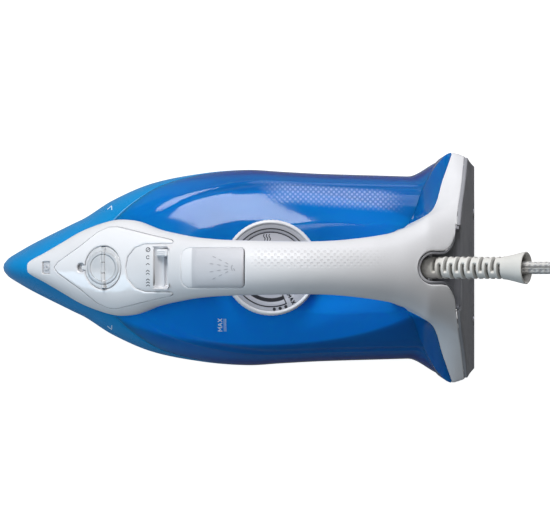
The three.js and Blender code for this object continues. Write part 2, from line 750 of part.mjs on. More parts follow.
function cordCoil() {
  const profile = [
    [COIL.inner, 2], [COIL.inner + 2, 0], [COIL.outer - 2, 0], [COIL.outer, 2],
    [COIL.outer, COIL.height - 2], [COIL.outer - 2, COIL.height],
    [COIL.inner + 2, COIL.height], [COIL.inner, COIL.height - 2], [COIL.inner, 2],
  ];
  return solid(lathe(profile, 28).applyMatrix4(standing(COIL.x, 0)));
}

// A flat tie round the coil's section, on its far side.
function cordTie() {
  const band = (out, under) => box(
    COIL.x - 4, COIL.x + 4, COIL.inner - 0.8 - out, COIL.outer + out, under, COIL.height + out,
  );
  return cut(band(1.4, 0), band(0.4, -1));
}

const cordEnd = () => tube([
  [COIL.x + 56, -24, 4.2], [COIL.x + 56, -44, 5], [COIL.x + 52, -59, 9], [COIL.x + 41, -70, 14],
  [PLUG.x + 8, PLUG.y, PLUG.radius - 0.3],
  [PLUG.x + 0.8, PLUG.y, PLUG.radius],
], CORD_R, 14, 8);

const plugFrame = new THREE.Matrix4().makeRotationY(-Math.PI / 2)
  .setPosition(PLUG.x, PLUG.y, PLUG.radius);

function plugBody() {
  const profile = [
    [0, 0], [4.3, 0], [5.6, PLUG.relief], [12, PLUG.relief + 3], [16.5, PLUG.relief + 8],
    [PLUG.radius, PLUG.relief + 12], [PLUG.radius, PLUG.length - 2], [16.5, PLUG.length],
    [0, PLUG.length],
  ];
  return solid(lathe(profile, 24).applyMatrix4(plugFrame));
}

function plugPin(side) {
  const frame = plugFrame.clone().multiply(new THREE.Matrix4().makeTranslation(0, side * 9.5, 0));
  return cylinderIn(frame, 2.4, PLUG.length + 0.3, PLUG.length + 19, 10);
}

// ---------- assembly ----------
const finish = (color, roughness, metalness = 0, opacity = 1) => new THREE.MeshStandardMaterial({
  color, roughness, metalness, opacity, transparent: opacity < 1,
});

const MATERIALS = {
  soleFace: finish(0xb8babf, 0.25, 1),
  castMetal: finish(0x9ea0a3, 0.6, 1),
  darkMetal: finish(0x73706e, 0.5, 1),
  steel: finish(0xa0a0a4, 0.35, 1),
  brass: finish(0xccad61, 0.35, 1),
  silicone: finish(0xccc7bd, 0.7),
  brightBlue: finish(0x0a6fc2, 0.25),
  tankBlue: finish(0x0648a8, 0.12, 0, 0.9),
  white: finish(0xdcdcde, 0.4),
  whiteGloss: finish(0xe6e6e8, 0.15),
  paleGrey: finish(0xbdbfc4, 0.6),
  buttonGrey: finish(0xcccccf, 0.5),
  partGrey: finish(0xa8a8ad, 0.55),
  heelGrey: finish(0x8c8c91, 0.65),
  clear: finish(0xdbe6f0, 0.08, 0, 0.4),
  dialGrey: finish(0xccced6, 0.3),
  ceramic: finish(0xd9d6cc, 0.7),
  cordWhite: finish(0xd4d2cf, 0.6),
  tieBlack: finish(0x111111, 0.6),
  wireBrown: finish(0x522912, 0.5),
  wireBlue: finish(0x14338c, 0.5),
  wireGreen: finish(0x40801f, 0.5),
};

const NODES = [
  ['soleplate', 'soleFace', soleplate],
  ['sole_casting', 'castMetal', soleCasting],
  ['heating_element', 'darkMetal', heatingElement],
  ['chamber_gasket', 'silicone', chamberGasket],
  ['chamber_cover', 'steel', chamberCover],
  ['skirt', 'brightBlue', skirt],
  ['sole_screw_nose', 'steel', () => soleScrew(SOLE_SCREWS[0])],
  ['sole_screw_left', 'steel', () => soleScrew(SOLE_SCREWS[1])],
  ['sole_screw_right', 'steel', () => soleScrew(SOLE_SCREWS[2])],
  ['tank_base', 'tankBlue', tankBase],
  ['tank_lid', 'tankBlue', tankLid],
  ['handle_shell', 'white', handleShell],
  ['grip_lower', 'paleGrey', gripLower],
  ['front_cover', 'whiteGloss', frontCover],
  ['filler_flap', 'clear', () => fillerHalf(true)],
  ['filler_plate', 'clear', () => fillerHalf(false)],
  ['filler_pin', 'steel', fillerPin],
  ['filler_funnel', 'white', fillerFunnel],
  ['spray_nozzle', 'partGrey', sprayNozzle],
  ['slide_track', 'partGrey', slideTrack],
  ['steam_slider', 'whiteGloss', steamSlider],
  ['valve_rod', 'brass', valveRod],
  ['valve_seat', 'silicone', valveSeat],
  ['steam_button', 'buttonGrey', steamButton],
  ['pump_cylinder', 'white', pumpCylinder],
  ['pump_piston', 'white', pumpPiston],
  ['pump_spring', 'steel', pumpSpring],
  ['spray_hose', 'silicone', sprayHose],
  ['temperature_dial', 'dialGrey', temperatureDial],
  ['dial_shaft', 'steel', dialShaft],
  ['dial_collar', 'partGrey', dialCollar],
  ['thermostat', 'ceramic', thermostat],
  ['thermal_fuse', 'ceramic', thermalFuse],
  ['heel_cover', 'heelGrey', heelCover],
  ['heel_screw_left', 'steel', () => heelScrew(1)],
  ['heel_screw_right', 'steel', () => heelScrew(-1)],
  ['cord_cradle', 'heelGrey', cordCradle],
  ['guard_pin', 'steel', () => guardPin(1.6, 17)],
  ['cord_guard', 'cordWhite', cordGuard],
  ['cord_tail', 'cordWhite', cordTail],
  ['cord_clamp', 'partGrey', cordClamp],
  ['terminal_block', 'ceramic', terminalBlock],
  ['wire_live', 'wireBrown', () => wire(1)],
  ['wire_neutral', 'wireBlue', () => wire(-1)],
  ['wire_earth', 'wireGreen', earthWire],
  ['cord_run', 'cordWhite', cordRun],
  ['cord_coil', 'cordWhite', cordCoil],
  ['cord_tie', 'tieBlack', cordTie],
  ['cord_end', 'cordWhite', cordEnd],
  ['plug_body', 'cordWhite', plugBody],
  ['plug_pin_left', 'brass', () => plugPin(1)],
  ['plug_pin_right', 'brass', () => plugPin(-1)],
];

const iron = new THREE.Group();
NODES.forEach(([name, material, make]) => {
  const mesh = new THREE.Mesh(toGeometry(make()), MATERIALS[material]);
  mesh.name = name;
  iron.add(mesh);
});

export default iron;
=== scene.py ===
"""Looks for the steam iron. Sizes are in millimetres and are scaled to metres when a mesh is made."""
import math

import bmesh
import bpy
import numpy as np
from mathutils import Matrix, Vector
from mathutils.bvhtree import BVHTree
from mathutils.geometry import delaunay_2d_cdt


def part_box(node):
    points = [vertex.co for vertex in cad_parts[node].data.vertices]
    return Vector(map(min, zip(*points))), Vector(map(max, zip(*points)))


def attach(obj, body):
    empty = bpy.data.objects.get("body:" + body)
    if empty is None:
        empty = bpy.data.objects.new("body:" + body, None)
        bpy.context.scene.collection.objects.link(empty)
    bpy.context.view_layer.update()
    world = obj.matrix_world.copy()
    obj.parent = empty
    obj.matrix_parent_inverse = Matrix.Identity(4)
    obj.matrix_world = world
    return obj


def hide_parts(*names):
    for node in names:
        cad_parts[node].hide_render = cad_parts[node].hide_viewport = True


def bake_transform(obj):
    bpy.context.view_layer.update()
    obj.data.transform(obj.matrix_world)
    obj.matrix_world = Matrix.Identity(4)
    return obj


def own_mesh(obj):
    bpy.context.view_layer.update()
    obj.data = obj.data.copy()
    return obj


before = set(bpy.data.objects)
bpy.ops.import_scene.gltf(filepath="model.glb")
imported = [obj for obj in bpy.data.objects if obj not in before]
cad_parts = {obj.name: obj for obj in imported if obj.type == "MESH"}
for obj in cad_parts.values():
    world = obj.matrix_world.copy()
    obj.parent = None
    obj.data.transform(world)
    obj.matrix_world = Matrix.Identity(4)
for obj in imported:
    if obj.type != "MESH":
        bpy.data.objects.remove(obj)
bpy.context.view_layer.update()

MM = 0.001
ROOT = "iron"
MIRROR = np.array([1, -1, 1])


# ---------- curves ----------
def curve_through(*stations):
    """Smooth curve through (x, value) stations, flat beyond both ends."""
    xs = np.array([s[0] for s in stations], float)
    values = np.array([s[1] for s in stations], float)
    before = np.maximum(np.arange(len(xs)) - 1, 0)
    after = np.minimum(np.arange(len(xs)) + 1, len(xs) - 1)
    slope = (values[after] - values[before]) / (xs[after] - xs[before])

    def value(x):
        x = np.clip(np.asarray(x, float), xs[0], xs[-1])
        i = np.clip(np.searchsorted(xs, x, side="right") - 1, 0, len(xs) - 2)
        span = xs[i + 1] - xs[i]
        t = (x - xs[i]) / span
        h = t * t * (3 - 2 * t)
        bend = t * (1 - t) * ((1 - t) * slope[i] - t * slope[i + 1]) * span
        return values[i] * (1 - h) + values[i + 1] * h + bend

    return value


def smooth(low, high, x):
    t = np.clip((np.asarray(x, float) - low) / (high - low), 0, 1)
    return t * t * (3 - 2 * t)


def spline(points, count):
    """Catmull-Rom curve through points, at count points an equal distance apart."""
    p = np.array(points, float)
    p = np.vstack([2 * p[0] - p[1], p, 2 * p[-1] - p[-2]])
    knots = np.concatenate([[0], np.cumsum(np.linalg.norm(np.diff(p, axis=0), axis=1) ** 0.5)])
    out = []
    for i in range(1, len(p) - 2):
        t0, t1, t2, t3 = knots[i - 1:i + 3]
        t = np.linspace(t1, t2, 24, endpoint=i == len(p) - 3)[:, None]
        a1 = (t1 - t) / (t1 - t0) * p[i - 1] + (t - t0) / (t1 - t0) * p[i]
        a2 = (t2 - t) / (t2 - t1) * p[i] + (t - t1) / (t2 - t1) * p[i + 1]
        a3 = (t3 - t) / (t3 - t2) * p[i + 1] + (t - t2) / (t3 - t2) * p[i + 2]
        b1 = (t2 - t) / (t2 - t0) * a1 + (t - t0) / (t2 - t0) * a2
        b2 = (t3 - t) / (t3 - t1) * a2 + (t - t1) / (t3 - t1) * a3
        out.append((t2 - t) / (t2 - t1) * b1 + (t - t1) / (t2 - t1) * b2)
    return resample(np.vstack(out), count)


def resample(points, count, closed=False):
    p = np.asarray(points, float)
    if closed:
        p = np.vstack([p, p[:1]])
    along = np.concatenate([[0], np.cumsum(np.linalg.norm(np.diff(p, axis=0), axis=1))])
    at = np.linspace(0, along[-1], count, endpoint=not closed)
    return np.stack([np.interp(at, along, p[:, k]) for k in range(p.shape[1])], axis=1)


def rounded(points, radii, closed=True, steps=6):
    """Outline with each corner rounded to its own radius."""
    p = [np.array(q, float) for q in points]
    if np.isscalar(radii):
        radii = [radii] * len(p)
    out = []
    for i, corner in enumerate(p):
        if radii[i] == 0 or (not closed and i in (0, len(p) - 1)):
            out.append(corner)
            continue
        before, after = p[i - 1] - corner, p[(i + 1) % len(p)] - corner
        reach_a, reach_b = np.linalg.norm(before), np.linalg.norm(after)
        before, after = before / reach_a, after / reach_b
        half = math.acos(float(np.clip(before @ after, -1, 1))) / 2
        back = min(radii[i] / max(math.tan(half), 1e-6), reach_a * 0.49, reach_b * 0.49)
        a, b = corner + before * back, corner + after * back
        for k in range(steps + 1):
            t = k / steps
            out.append((1 - t) ** 2 * a + 2 * t * (1 - t) * corner + t * t * b)
    return np.array(out)


def offset(loop, distance):
    """Closed plan outline moved outwards by a distance, for a dense outline."""
    p = np.asarray(loop, float)
    along = np.roll(p, -1, axis=0) - np.roll(p, 1, axis=0)
    along /= np.linalg.norm(along, axis=1, keepdims=True)
    out = np.stack([along[:, 1], -along[:, 0]], axis=1)
    area = np.sum(p[:, 0] * np.roll(p[:, 1], -1) - np.roll(p[:, 0], -1) * p[:, 1])
    return p + out * distance * np.sign(area)


def polar(radius, angle, centre=(0, 0)):
    """Plan points at a radius and angles round a centre."""
    return np.column_stack([centre[0] + radius * np.cos(angle), centre[1] + radius * np.sin(angle)])


def full_turn(count):
    return np.linspace(0, 2 * math.pi, count, endpoint=False)


def at_height(plan, z):
    """Plan points raised to a height."""
    return np.column_stack([plan, np.full(len(plan), 1.0) * z])


def rounding(radius, steps):
    """How far in and how far down the lines of a rounded edge lie, from its top to its wall."""
    turns = [math.pi / 2 * k / steps for k in range(steps + 1)]
    return [(radius * (1 - math.sin(a)), radius * (1 - math.cos(a))) for a in turns]


# ---------- meshes ----------
def add(name, points, faces, finish, body=ROOT, sharp=40, attributes=None):
    """Object from points in millimetres, which rides on a body if one is given."""
    mesh = bpy.data.meshes.new(name)
    mesh.from_pydata((np.asarray(points, float) * MM).tolist(), [], [tuple(map(int, f)) for f in faces])
    mesh.shade_smooth()
    mesh.set_sharp_from_angle(angle=math.radians(sharp))
    for key, values in (attributes or {}).items():
        layer = mesh.attributes.new(key, "FLOAT", "POINT")
        layer.data.foreach_set("value", np.asarray(values, np.float32))
    mesh.materials.append(finish.material)
    obj = bpy.data.objects.new(name, mesh)
    bpy.context.scene.collection.objects.link(obj)
    if body:
        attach(obj, body)
    return obj


def weld(obj, distance=0.004):
    """Joins the points that a piece's skins share."""
    edit = bmesh.new()
    edit.from_mesh(obj.data)
    bmesh.ops.remove_doubles(edit, verts=edit.verts, dist=distance * MM)
    bmesh.ops.recalc_face_normals(edit, faces=edit.faces)
    edit.to_mesh(obj.data)
    edit.free()
    obj.data.shade_smooth()
    obj.data.set_sharp_from_angle(angle=math.radians(38))
    return obj


def settle(obj, node=None):
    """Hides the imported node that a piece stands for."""
    if node:
        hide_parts(node)
    return obj


def plain(name, mesh, finish, node=None, body=ROOT):
    return settle(add(name, *mesh, finish, body), node)


def welded(name, mesh, finish, node=None, body=ROOT):
    return settle(weld(add(name, *mesh, finish, body)), node)


def grid_faces(rows, columns, wrap=False):
    faces = []
    last = columns if wrap else columns - 1
    for i in range(rows - 1):
        for j in range(last):
            a, b = i * columns + j, i * columns + (j + 1) % columns
            faces.append((a, b, b + columns, a + columns))
    return faces


def flipped(faces):
    return [tuple(reversed(f)) for f in faces]


def strips(rings, wrap=True):
    """Open skin over rings of equal count."""
    return np.vstack(rings), grid_faces(len(rings), len(rings[0]), wrap)


def loft(rings, cap_start=True, cap_end=True):
    """Skin over closed rings of equal count, with its faces turned outwards."""
    count = len(rings[0])
    points, faces = strips(rings)
    if cap_start:
        faces.append(tuple(range(count - 1, -1, -1)))
    if cap_end:
        faces.append(tuple(range(len(points) - count, len(points))))
    middle = points.mean(0)
    a, b, c = (points[[f[k] for f in faces]] - middle for k in range(3))
    if np.sum(np.einsum("ij,ij->i", a, np.cross(b, c))) < 0:
        faces = flipped(faces)
    return points, faces


def turned(profile, segments=96, centre=(0, 0, 0), axes=None):
    """Rings of a profile of (radius, height) turned about the local z axis."""
    rings = [at_height(polar(radius, full_turn(segments)), height) for radius, height in profile]
    if axes is not None:
        rings = [ring @ np.asarray(axes, float) for ring in rings]
    return [ring + np.asarray(centre, float) for ring in rings]


def combined(*parts):
    """Several (points, faces) pairs as one."""
    points, faces, start = [], [], 0
    for p, f in parts:
        points.append(np.asarray(p, float))
        faces += [tuple(start + k for k in face) for face in f]
        start += len(p)
    return np.vstack(points), faces


def mirrored(points, faces):
    """A skin on one side together with its mirror image."""
    return combined((points, faces), (points * MIRROR, flipped(faces)))


def sweep(path, radius, sides=16):
    """Round tube along a path. Returns points, faces and each point's place along and around it."""
    tangent = np.gradient(path, axis=0)
    tangent /= np.linalg.norm(tangent, axis=1, keepdims=True)
    normal = np.cross(tangent[0], [0.3, 1, 0.2])
    normal /= np.linalg.norm(normal)
    length = np.concatenate([[0], np.cumsum(np.linalg.norm(np.diff(path, axis=0), axis=1))])
    angle = full_turn(sides)
    rings = []
    for place, forward in zip(path, tangent):
        normal = normal - forward * (normal @ forward)
        normal /= np.linalg.norm(normal)
        side = np.cross(forward, normal)
        rings.append(place + radius * (np.outer(np.cos(angle), normal) + np.outer(np.sin(angle), side)))
    points, faces = loft(rings)
    return points, faces, np.repeat(length, sides), np.tile(angle, len(path))


# ---------- materials ----------
def tone(code):
    """Linear colour from a web colour code."""
    parts = [int(code[i:i + 2], 16) / 255 for i in (0, 2, 4)]
    return tuple(c / 12.92 if c <= 0.04045 else ((c + 0.055) / 1.055) ** 2.4 for c in parts)


class Value:
    """A number that a material works out with its nodes."""

    def __init__(self, finish, socket):
        self.finish = finish
        self.socket = socket

    def worked(self, kind, inputs, **settings):
        node = self.finish.node(kind, **settings)
        for socket, value in zip(node.inputs, (self, *inputs)):
            self.finish.feed(socket, value)
        return Value(self.finish, node.outputs[0])

    def __add__(self, other):
        return self.worked("ShaderNodeMath", [other], operation="ADD")

    def __sub__(self, other):
        return self.worked("ShaderNodeMath", [other], operation="SUBTRACT")

    def __mul__(self, other):
        return self.worked("ShaderNodeMath", [other], operation="MULTIPLY")

    def __truediv__(self, other):
        return self.worked("ShaderNodeMath", [other], operation="DIVIDE")

    def __pow__(self, other):
        return self.worked("ShaderNodeMath", [other], operation="POWER")

    def root(self):
        return self.worked("ShaderNodeMath", [], operation="SQRT")

    def sine(self):
        return self.worked("ShaderNodeMath", [], operation="SINE")

    def step(self, low, high, out_low=0.0, out_high=1.0):
        """Runs smoothly from out_low, where the value is low, to out_high, where it is high."""
        ends = [low, high, out_low, out_high]
        return self.worked("ShaderNodeMapRange", ends, interpolation_type="SMOOTHSTEP")


class Finish:
    """A Principled material whose varying inputs are built from nodes."""

    def __init__(self, name, code, roughness=0.5, metallic=0.0, **sockets):
        self.material = bpy.data.materials.new(name)
        self.material.use_nodes = True
        self.tree = self.material.node_tree
        self.shader = self.tree.nodes["Principled BSDF"]
        self.color_now = tone(code)
        self.shader.inputs["Base Color"].default_value = (*self.color_now, 1)
        self.shader.inputs["Roughness"].default_value = roughness
        self.shader.inputs["Metallic"].default_value = metallic
        for key, value in sockets.items():
            self.shader.inputs[key.replace("_", " ")].default_value = value
        self.place = self.node("ShaderNodeTexCoord").outputs["Object"]

    def node(self, kind, **settings):
        node = self.tree.nodes.new(kind)
        for key, value in settings.items():
            setattr(node, key, value)
        return node

    def feed(self, socket, value):
        """Links a node's output to a socket, or sets the socket to a number or a colour."""
        if isinstance(value, Value):
            value = value.socket
        if isinstance(value, bpy.types.NodeSocket):
            self.tree.links.new(value, socket)
        elif isinstance(value, tuple):
            socket.default_value = (*value, 1)
        else:
            socket.default_value = value

    def xyz(self):
        """The place on the part, in millimetres."""
        node = self.node("ShaderNodeSeparateXYZ")
        self.feed(node.inputs[0], self.place)
        return [Value(self, socket) * 1000 for socket in node.outputs]

    def from_axis(self, axis_x):
        """Distance from an upright axis on the middle line, in millimetres."""
        x, y, _ = self.xyz()
        return ((x - axis_x) ** 2 + y ** 2).root()

    def attribute(self, name):
        return Value(self, self.node("ShaderNodeAttribute", attribute_name=name).outputs["Fac"])

    def noise(self, scale, detail=3.0, roughness=0.5, stretch=None):
        node = self.node("ShaderNodeTexNoise")
        place = self.place
        if stretch:
            mapping = self.node("ShaderNodeMapping")
            mapping.inputs["Scale"].default_value = stretch
            self.feed(mapping.inputs["Vector"], place)
            place = mapping.outputs[0]
        self.feed(node.inputs["Vector"], place)
        node.inputs["Scale"].default_value = scale
        node.inputs["Detail"].default_value = detail
        node.inputs["Roughness"].default_value = roughness
        return Value(self, node.outputs["Fac"])

    def paint(self, share, color):
        """Lays a colour, or a web colour code, over what the surface has so far."""
        node = self.node("ShaderNodeMix", data_type="RGBA")
        self.feed(node.inputs["Factor"], share)
        self.feed(node.inputs[6], self.color_now)
        self.feed(node.inputs[7], tone(color) if isinstance(color, str) else color)
        self.color_now = node.outputs[2]
        self.feed(self.shader.inputs["Base Color"], self.color_now)

    def rough(self, value):
        self.feed(self.shader.inputs["Roughness"], value)

    def bump(self, height, distance):
        """Adds relief of a depth in millimetres to the relief that the surface has so far."""
        node = self.node("ShaderNodeBump")
        node.inputs["Distance"].default_value = distance * MM
        node.inputs["Strength"].default_value = 1.0
        self.feed(node.inputs["Height"], height)
        normal = self.shader.inputs["Normal"]
        if normal.is_linked:
            self.feed(node.inputs["Normal"], normal.links[0].from_socket)
        self.feed(normal, node.outputs[0])


def scaled_color(code, share, lift=0.0):
    return tuple(c * share + lift for c in tone(code))


def moulded(name, code, roughness, shade=0.94, grain=0.02, grain_scale=1400, spread=0.06, **sockets):
    """Moulded plastic: slight mottling, an uneven gloss and a fine spark-eroded grain."""
    finish = Finish(name, code, roughness, **sockets)
    finish.paint(finish.noise(38, 4).step(0.35, 0.7), scaled_color(code, shade))
    finish.rough(finish.noise(90, 5).step(0.3, 0.7, roughness - spread, roughness + spread))
    finish.bump(finish.noise(grain_scale, 2), grain)
    return finish


def metal(name, code, roughness, scale=240, stretch=(1, 12, 1), bump=0.01):
    """Machined or drawn metal with brushing and faint stains."""
    finish = Finish(name, code, roughness, 1.0)
    brushed = finish.noise(scale, 5, 0.6, stretch)
    finish.paint(brushed.step(0.35, 0.75), scaled_color(code, 0.82))
    finish.rough(finish.noise(60, 4).step(0.3, 0.7, roughness * 0.75, roughness * 1.35))
    finish.bump(brushed, bump)
    return finish


def braided(name):
    """Braided textile sleeve: crossing yarns with a few grey ones."""
    finish = Finish(name, "d6d4d0", 0.7, Sheen_Weight=0.3)
    along = finish.attribute("along") * 1.05
    around = finish.attribute("around") * 4
    yarn = (along + around).sine()
    weave = yarn * (along - around).sine()
    finish.paint(weave.step(-0.1, -0.8), "a9a8aa")
    grey_yarn = yarn.step(0.45, 0.8) * finish.noise(160, 2).step(0.4, 0.55)
    finish.paint(grey_yarn * 0.55, "8b8b90")
    finish.bump(weave, 0.35)
    finish.bump(finish.noise(2500, 3), 0.06)
    return finish


def tank_plastic():
    """Tinted tank, deep blue down its sides, with a dot pattern by one crease; painted light brightens its deck
    on the far side and at the rear, painted shade darkens its lower sides and the dots carry a painted
    reflection.
    """
    finish = Finish("tank_blue_plastic", "0471bf", 0.07, Specular_IOR_Level=0.25, Subsurface_Weight=0.6,
                    Subsurface_Scale=0.03, Subsurface_Radius=(0.2, 0.5, 1.0))
    x, y, z = finish.xyz()
    finish.paint(finish.noise(16, 3).step(0.3, 0.75), "0366ae")
    deck = (y / 47.5) ** 2 + ((x - 15) / 116) ** 2
    # Painted light: the deck is painted brighter on its side away from the key light.
    painted_light_far_side = deck.step(1.1, 0.96) * y.step(-10, -22)
    finish.paint(painted_light_far_side * 0.75, "0094ff")
    outside = deck.step(0.94, 1.03) * x.step(-62, 10)
    finish.paint(outside * 0.6, "0a5499")
    # Painted shade: the lower sides are painted dark navy.
    lower = z.step(50, 42) * x.step(-60, 20)
    finish.paint(lower * 0.85, "142e80")
    # Painted glow: the rear of the deck is painted brighter blue.
    painted_rear_glow = x.step(30, 88) * deck.step(0.97, 0.55)
    finish.paint(painted_rear_glow * 0.65, "147bd2")
    finish.paint(x.step(-64, -100) * 0.8, "0c74c6")
    dots = (x * 2).sine() * (y * 2).sine()
    slant = (x - 62) * 0.08 + y
    # The dot pattern is real relief. Its light lavender colour in this patch on one side is a painted
    # reflection.
    dots_in_reflection_patch = slant.step(35, 41) * slant.step(50.5, 47.5) * (x.step(12, 34) * x.step(104, 84))
    finish.paint(dots_in_reflection_patch * dots.step(0.1, 0.35, 0.25, 0.75), "9fb4e4")
    finish.rough(finish.noise(70, 4).step(0.3, 0.7, 0.05, 0.11))
    finish.bump(finish.noise(26, 3), 0.1)
    finish.bump(dots * dots_in_reflection_patch, 0.08)
    return finish


def shell_plastic():
    """Light grey shell with a fine dimple pattern on the back of the handle, with painted shade in the dimples.
    """
    finish = moulded("shell_white", "e2e2e4", 0.42, shade=0.96, grain=0.03)
    x, y, _ = finish.xyz()
    dots = (x * 1.7).sine() * (y * 1.9).sine()
    area = x.step(6, 16) * x.step(92, 40) * (y.step(-2, 3.5) * y.step(12, 9))
    pits_and_pit_shade = dots.step(0.25, 0.5) * area
    # Painted shade: the dimples are painted darker grey.
    finish.paint(pits_and_pit_shade * 0.4, "c3bfc2")
    finish.bump(pits_and_pit_shade * -1, 0.25)
    return finish


def clear_plastic():
    """Clear lid with a faint grey tint and a raised ring, with painted shade on the ring."""
    finish = Finish("clear_lid", "fdfdfe", 0.06, Transmission_Weight=0.3, IOR=1.46)
    from_axis = finish.from_axis(-80)
    raised_ring_and_shade = from_axis.step(7.6, 8.3) * from_axis.step(10.4, 9.4)
    # Painted shade: the raised ring is painted darker grey.
    finish.paint(raised_ring_and_shade * 0.45, "ccd2d9")
    finish.bump(raised_ring_and_shade, 0.8)
    finish.rough(finish.noise(120, 4).step(0.3, 0.7, 0.03, 0.1))
    finish.paint(finish.noise(60, 3).step(0.4, 0.7), "e4e8ec")
    finish.bump(finish.noise(40, 2), 0.15)
    return finish


def dial_plastic():
    """Dial face: a darker grey ring round a lighter middle."""
    finish = moulded("dial_grey", "bfc0c8", 0.35, 0.96, 0.015)
    finish.paint(finish.from_axis(20.5).step(21, 21.4), "b2b4bc")
    return finish


def button_plastic():
    """Pad of the steam button, with painted light on its sloping front lip."""
    finish = moulded("button_grey", "cdcdd1", 0.5, 0.96, 0.04)
    # Painted light: the sloping front lip is painted whiter, as if it faced the light.
    finish.paint(finish.xyz()[0].step(-24.2, -25.2), "e8e8ea")
    return finish


def lining_plastic():
    """Light lining at the slot's front, with painted shadow darkening it towards its mouth."""
    finish = moulded("lining_grey", "c2c2c6", 0.5, 0.92)
    # Painted shadow: the lining darkens towards the slot's mouth.
    finish.paint(finish.xyz()[0].step(106, 116), "808187")
    return finish


def guard_rubber():
    """Soft rubber, with painted shade down in the relief's slots and inside its mouth."""
    finish = moulded("guard_rubber", "dbd9d3", 0.55, 0.93, 0.03, Sheen_Weight=0.1)
    # Painted shade: the slots and the inside of the mouth are painted dark.
    finish.paint(finish.attribute("cut").step(0.35, 1) * 0.9, "4c4b49")
    return finish


def printed(name, code, roughness=0.5):
    """Ink with a slightly uneven cover."""
    finish = Finish(name, code, roughness)
    finish.paint(finish.noise(700, 3).step(0.45, 0.8, 0.0, 0.35), scaled_color(code, 1.25, 0.01))
    finish.bump(finish.noise(1500, 2), 0.01)
    return finish


WHITE = shell_plastic()
WHITE_GLOSS = moulded("cover_gloss", "ececee", 0.16, 0.985, 0.004, 300, 0.04, Coat_Weight=0.5)
BLUE = moulded("skirt_blue", "0388c9", 0.3, 0.93, 0.012, 1200, 0.05, Specular_IOR_Level=0.2)
TANK = tank_plastic()
CLEAR = clear_plastic()
GRIP = moulded("grip_grey", "c2c3c8", 0.6, 0.93, 0.06)
BUTTON_GREY = button_plastic()
PART_GREY = moulded("part_grey", "c6c7cb", 0.5, 0.93, 0.03)
HEEL_GREY = moulded("heel_grey", "9a9ba0", 0.55, 0.9, 0.06)
DIAL_GREY = dial_plastic()
DIAL_RIM = moulded("dial_rim", "e6e7ea", 0.25, 0.97, 0.01)
PLUG_WHITE = moulded("plug_white", "dcdbd8", 0.45, 0.95, 0.03)
TIE_BLACK = moulded("tie_black", "1b1b1d", 0.5, 0.8, 0.05)
CERAMIC = moulded("ceramic", "d8d4c8", 0.7, 0.9, 0.05)
SILICONE = moulded("silicone", "c8c3b8", 0.65, 0.9, 0.02)
BROWN = moulded("wire_brown", "5a3216", 0.5)
NEUTRAL = moulded("wire_blue", "1a3a94", 0.5)
GREEN = moulded("wire_green", "468a26", 0.5)
SOLE = metal("sole_steel", "c4c6cb", 0.22, 300, (1, 14, 1))
CAST = metal("cast_aluminium", "a4a6aa", 0.5, 500, (1, 1, 1), 0.05)
ELEMENT = metal("element_steel", "77736f", 0.45)
STEEL = metal("zinc_steel", "a9a9ad", 0.32)
BRASS = metal("brass", "cdb068", 0.28)
INK_DARK = printed("ink_dark", "26272d")
INK_WHITE = printed("ink_white", "dfeefc", 0.35)
CORD = braided("cord_braid")


# ---------- camera ----------
VIEW_HEIGHT = 1000
VIEW_CENTRE = (22.9, 1.6)
VIEW_WIDTH = 357.5
SENSOR = 36
camera_data = bpy.data.cameras.new("camera")
camera_data.sensor_width = SENSOR
camera_data.lens = SENSOR * VIEW_HEIGHT / VIEW_WIDTH
camera = bpy.data.objects.new("camera", camera_data)
camera.location = Vector((*VIEW_CENTRE, VIEW_HEIGHT)) * MM
bpy.context.scene.collection.objects.link(camera)
bpy.context.scene.camera = camera

# ---------- free cord, coil and plug ----------
CORD_R = 3.5
GUARD_PIVOT = np.array([112.0, 0.0, 112.0])
GUARD_TILT = math.radians(30)
GUARD_LENGTH = 59
GUARD_OUT = np.array([math.cos(GUARD_TILT), 0, math.sin(GUARD_TILT)])
GUARD_AXES = np.array([[math.sin(GUARD_TILT), 0, -math.cos(GUARD_TILT)], [0, 1, 0], GUARD_OUT])
MOUTH_DEPTH = 6.2
COIL_X = 272
TURN_OUT, TURN_IN = 50.3, 29.0
LAYER = 7.1
FLOOR_Z = CORD_R + 0.1
PLUG_X, PLUG_Y, PLUG_R = 290, -74, 18
PLUG_RELIEF, PLUG_LENGTH = 22, 48
TOWARDS_NOSE = [[0, 0, 1], [0, 1, 0], [-1, 0, 0]]
guard_mouth = GUARD_PIVOT + GUARD_OUT * (GUARD_LENGTH - MOUTH_DEPTH)


def coil_route():
    """Two layers of turns wound clockwise: inwards on the floor, then outwards on top of them."""
    turns, climb, out_turns, steps = 3, 0.3, 3.2, 40
    points = []
    for k in range(turns * steps + 1):
        turn = k / steps
        ease = 7.7 * (1 - float(smooth(0, 0.22, turn)))
        points.append((turn, TURN_OUT - (TURN_OUT - TURN_IN) * turn / turns + ease, FLOOR_Z))
    for k in range(1, 12):
        points.append((turns + climb * k / 12, TURN_IN, FLOOR_Z + LAYER * float(smooth(0, 12, k))))
    for k in range(int(out_turns * steps) + 1):
        turn = k / steps
        leave = 3.2 * float(smooth(out_turns - 0.15, out_turns, turn))
        radius = TURN_IN + (TURN_OUT - TURN_IN) * turn / out_turns + leave
        dip = 1.6 * float(smooth(out_turns - 0.06, out_turns, turn))
        points.append((turns + climb + turn, radius, FLOOR_Z + LAYER - dip))
    return [(COIL_X - r * math.cos(2 * math.pi * t), r * math.sin(2 * math.pi * t), z) for t, r, z in points]


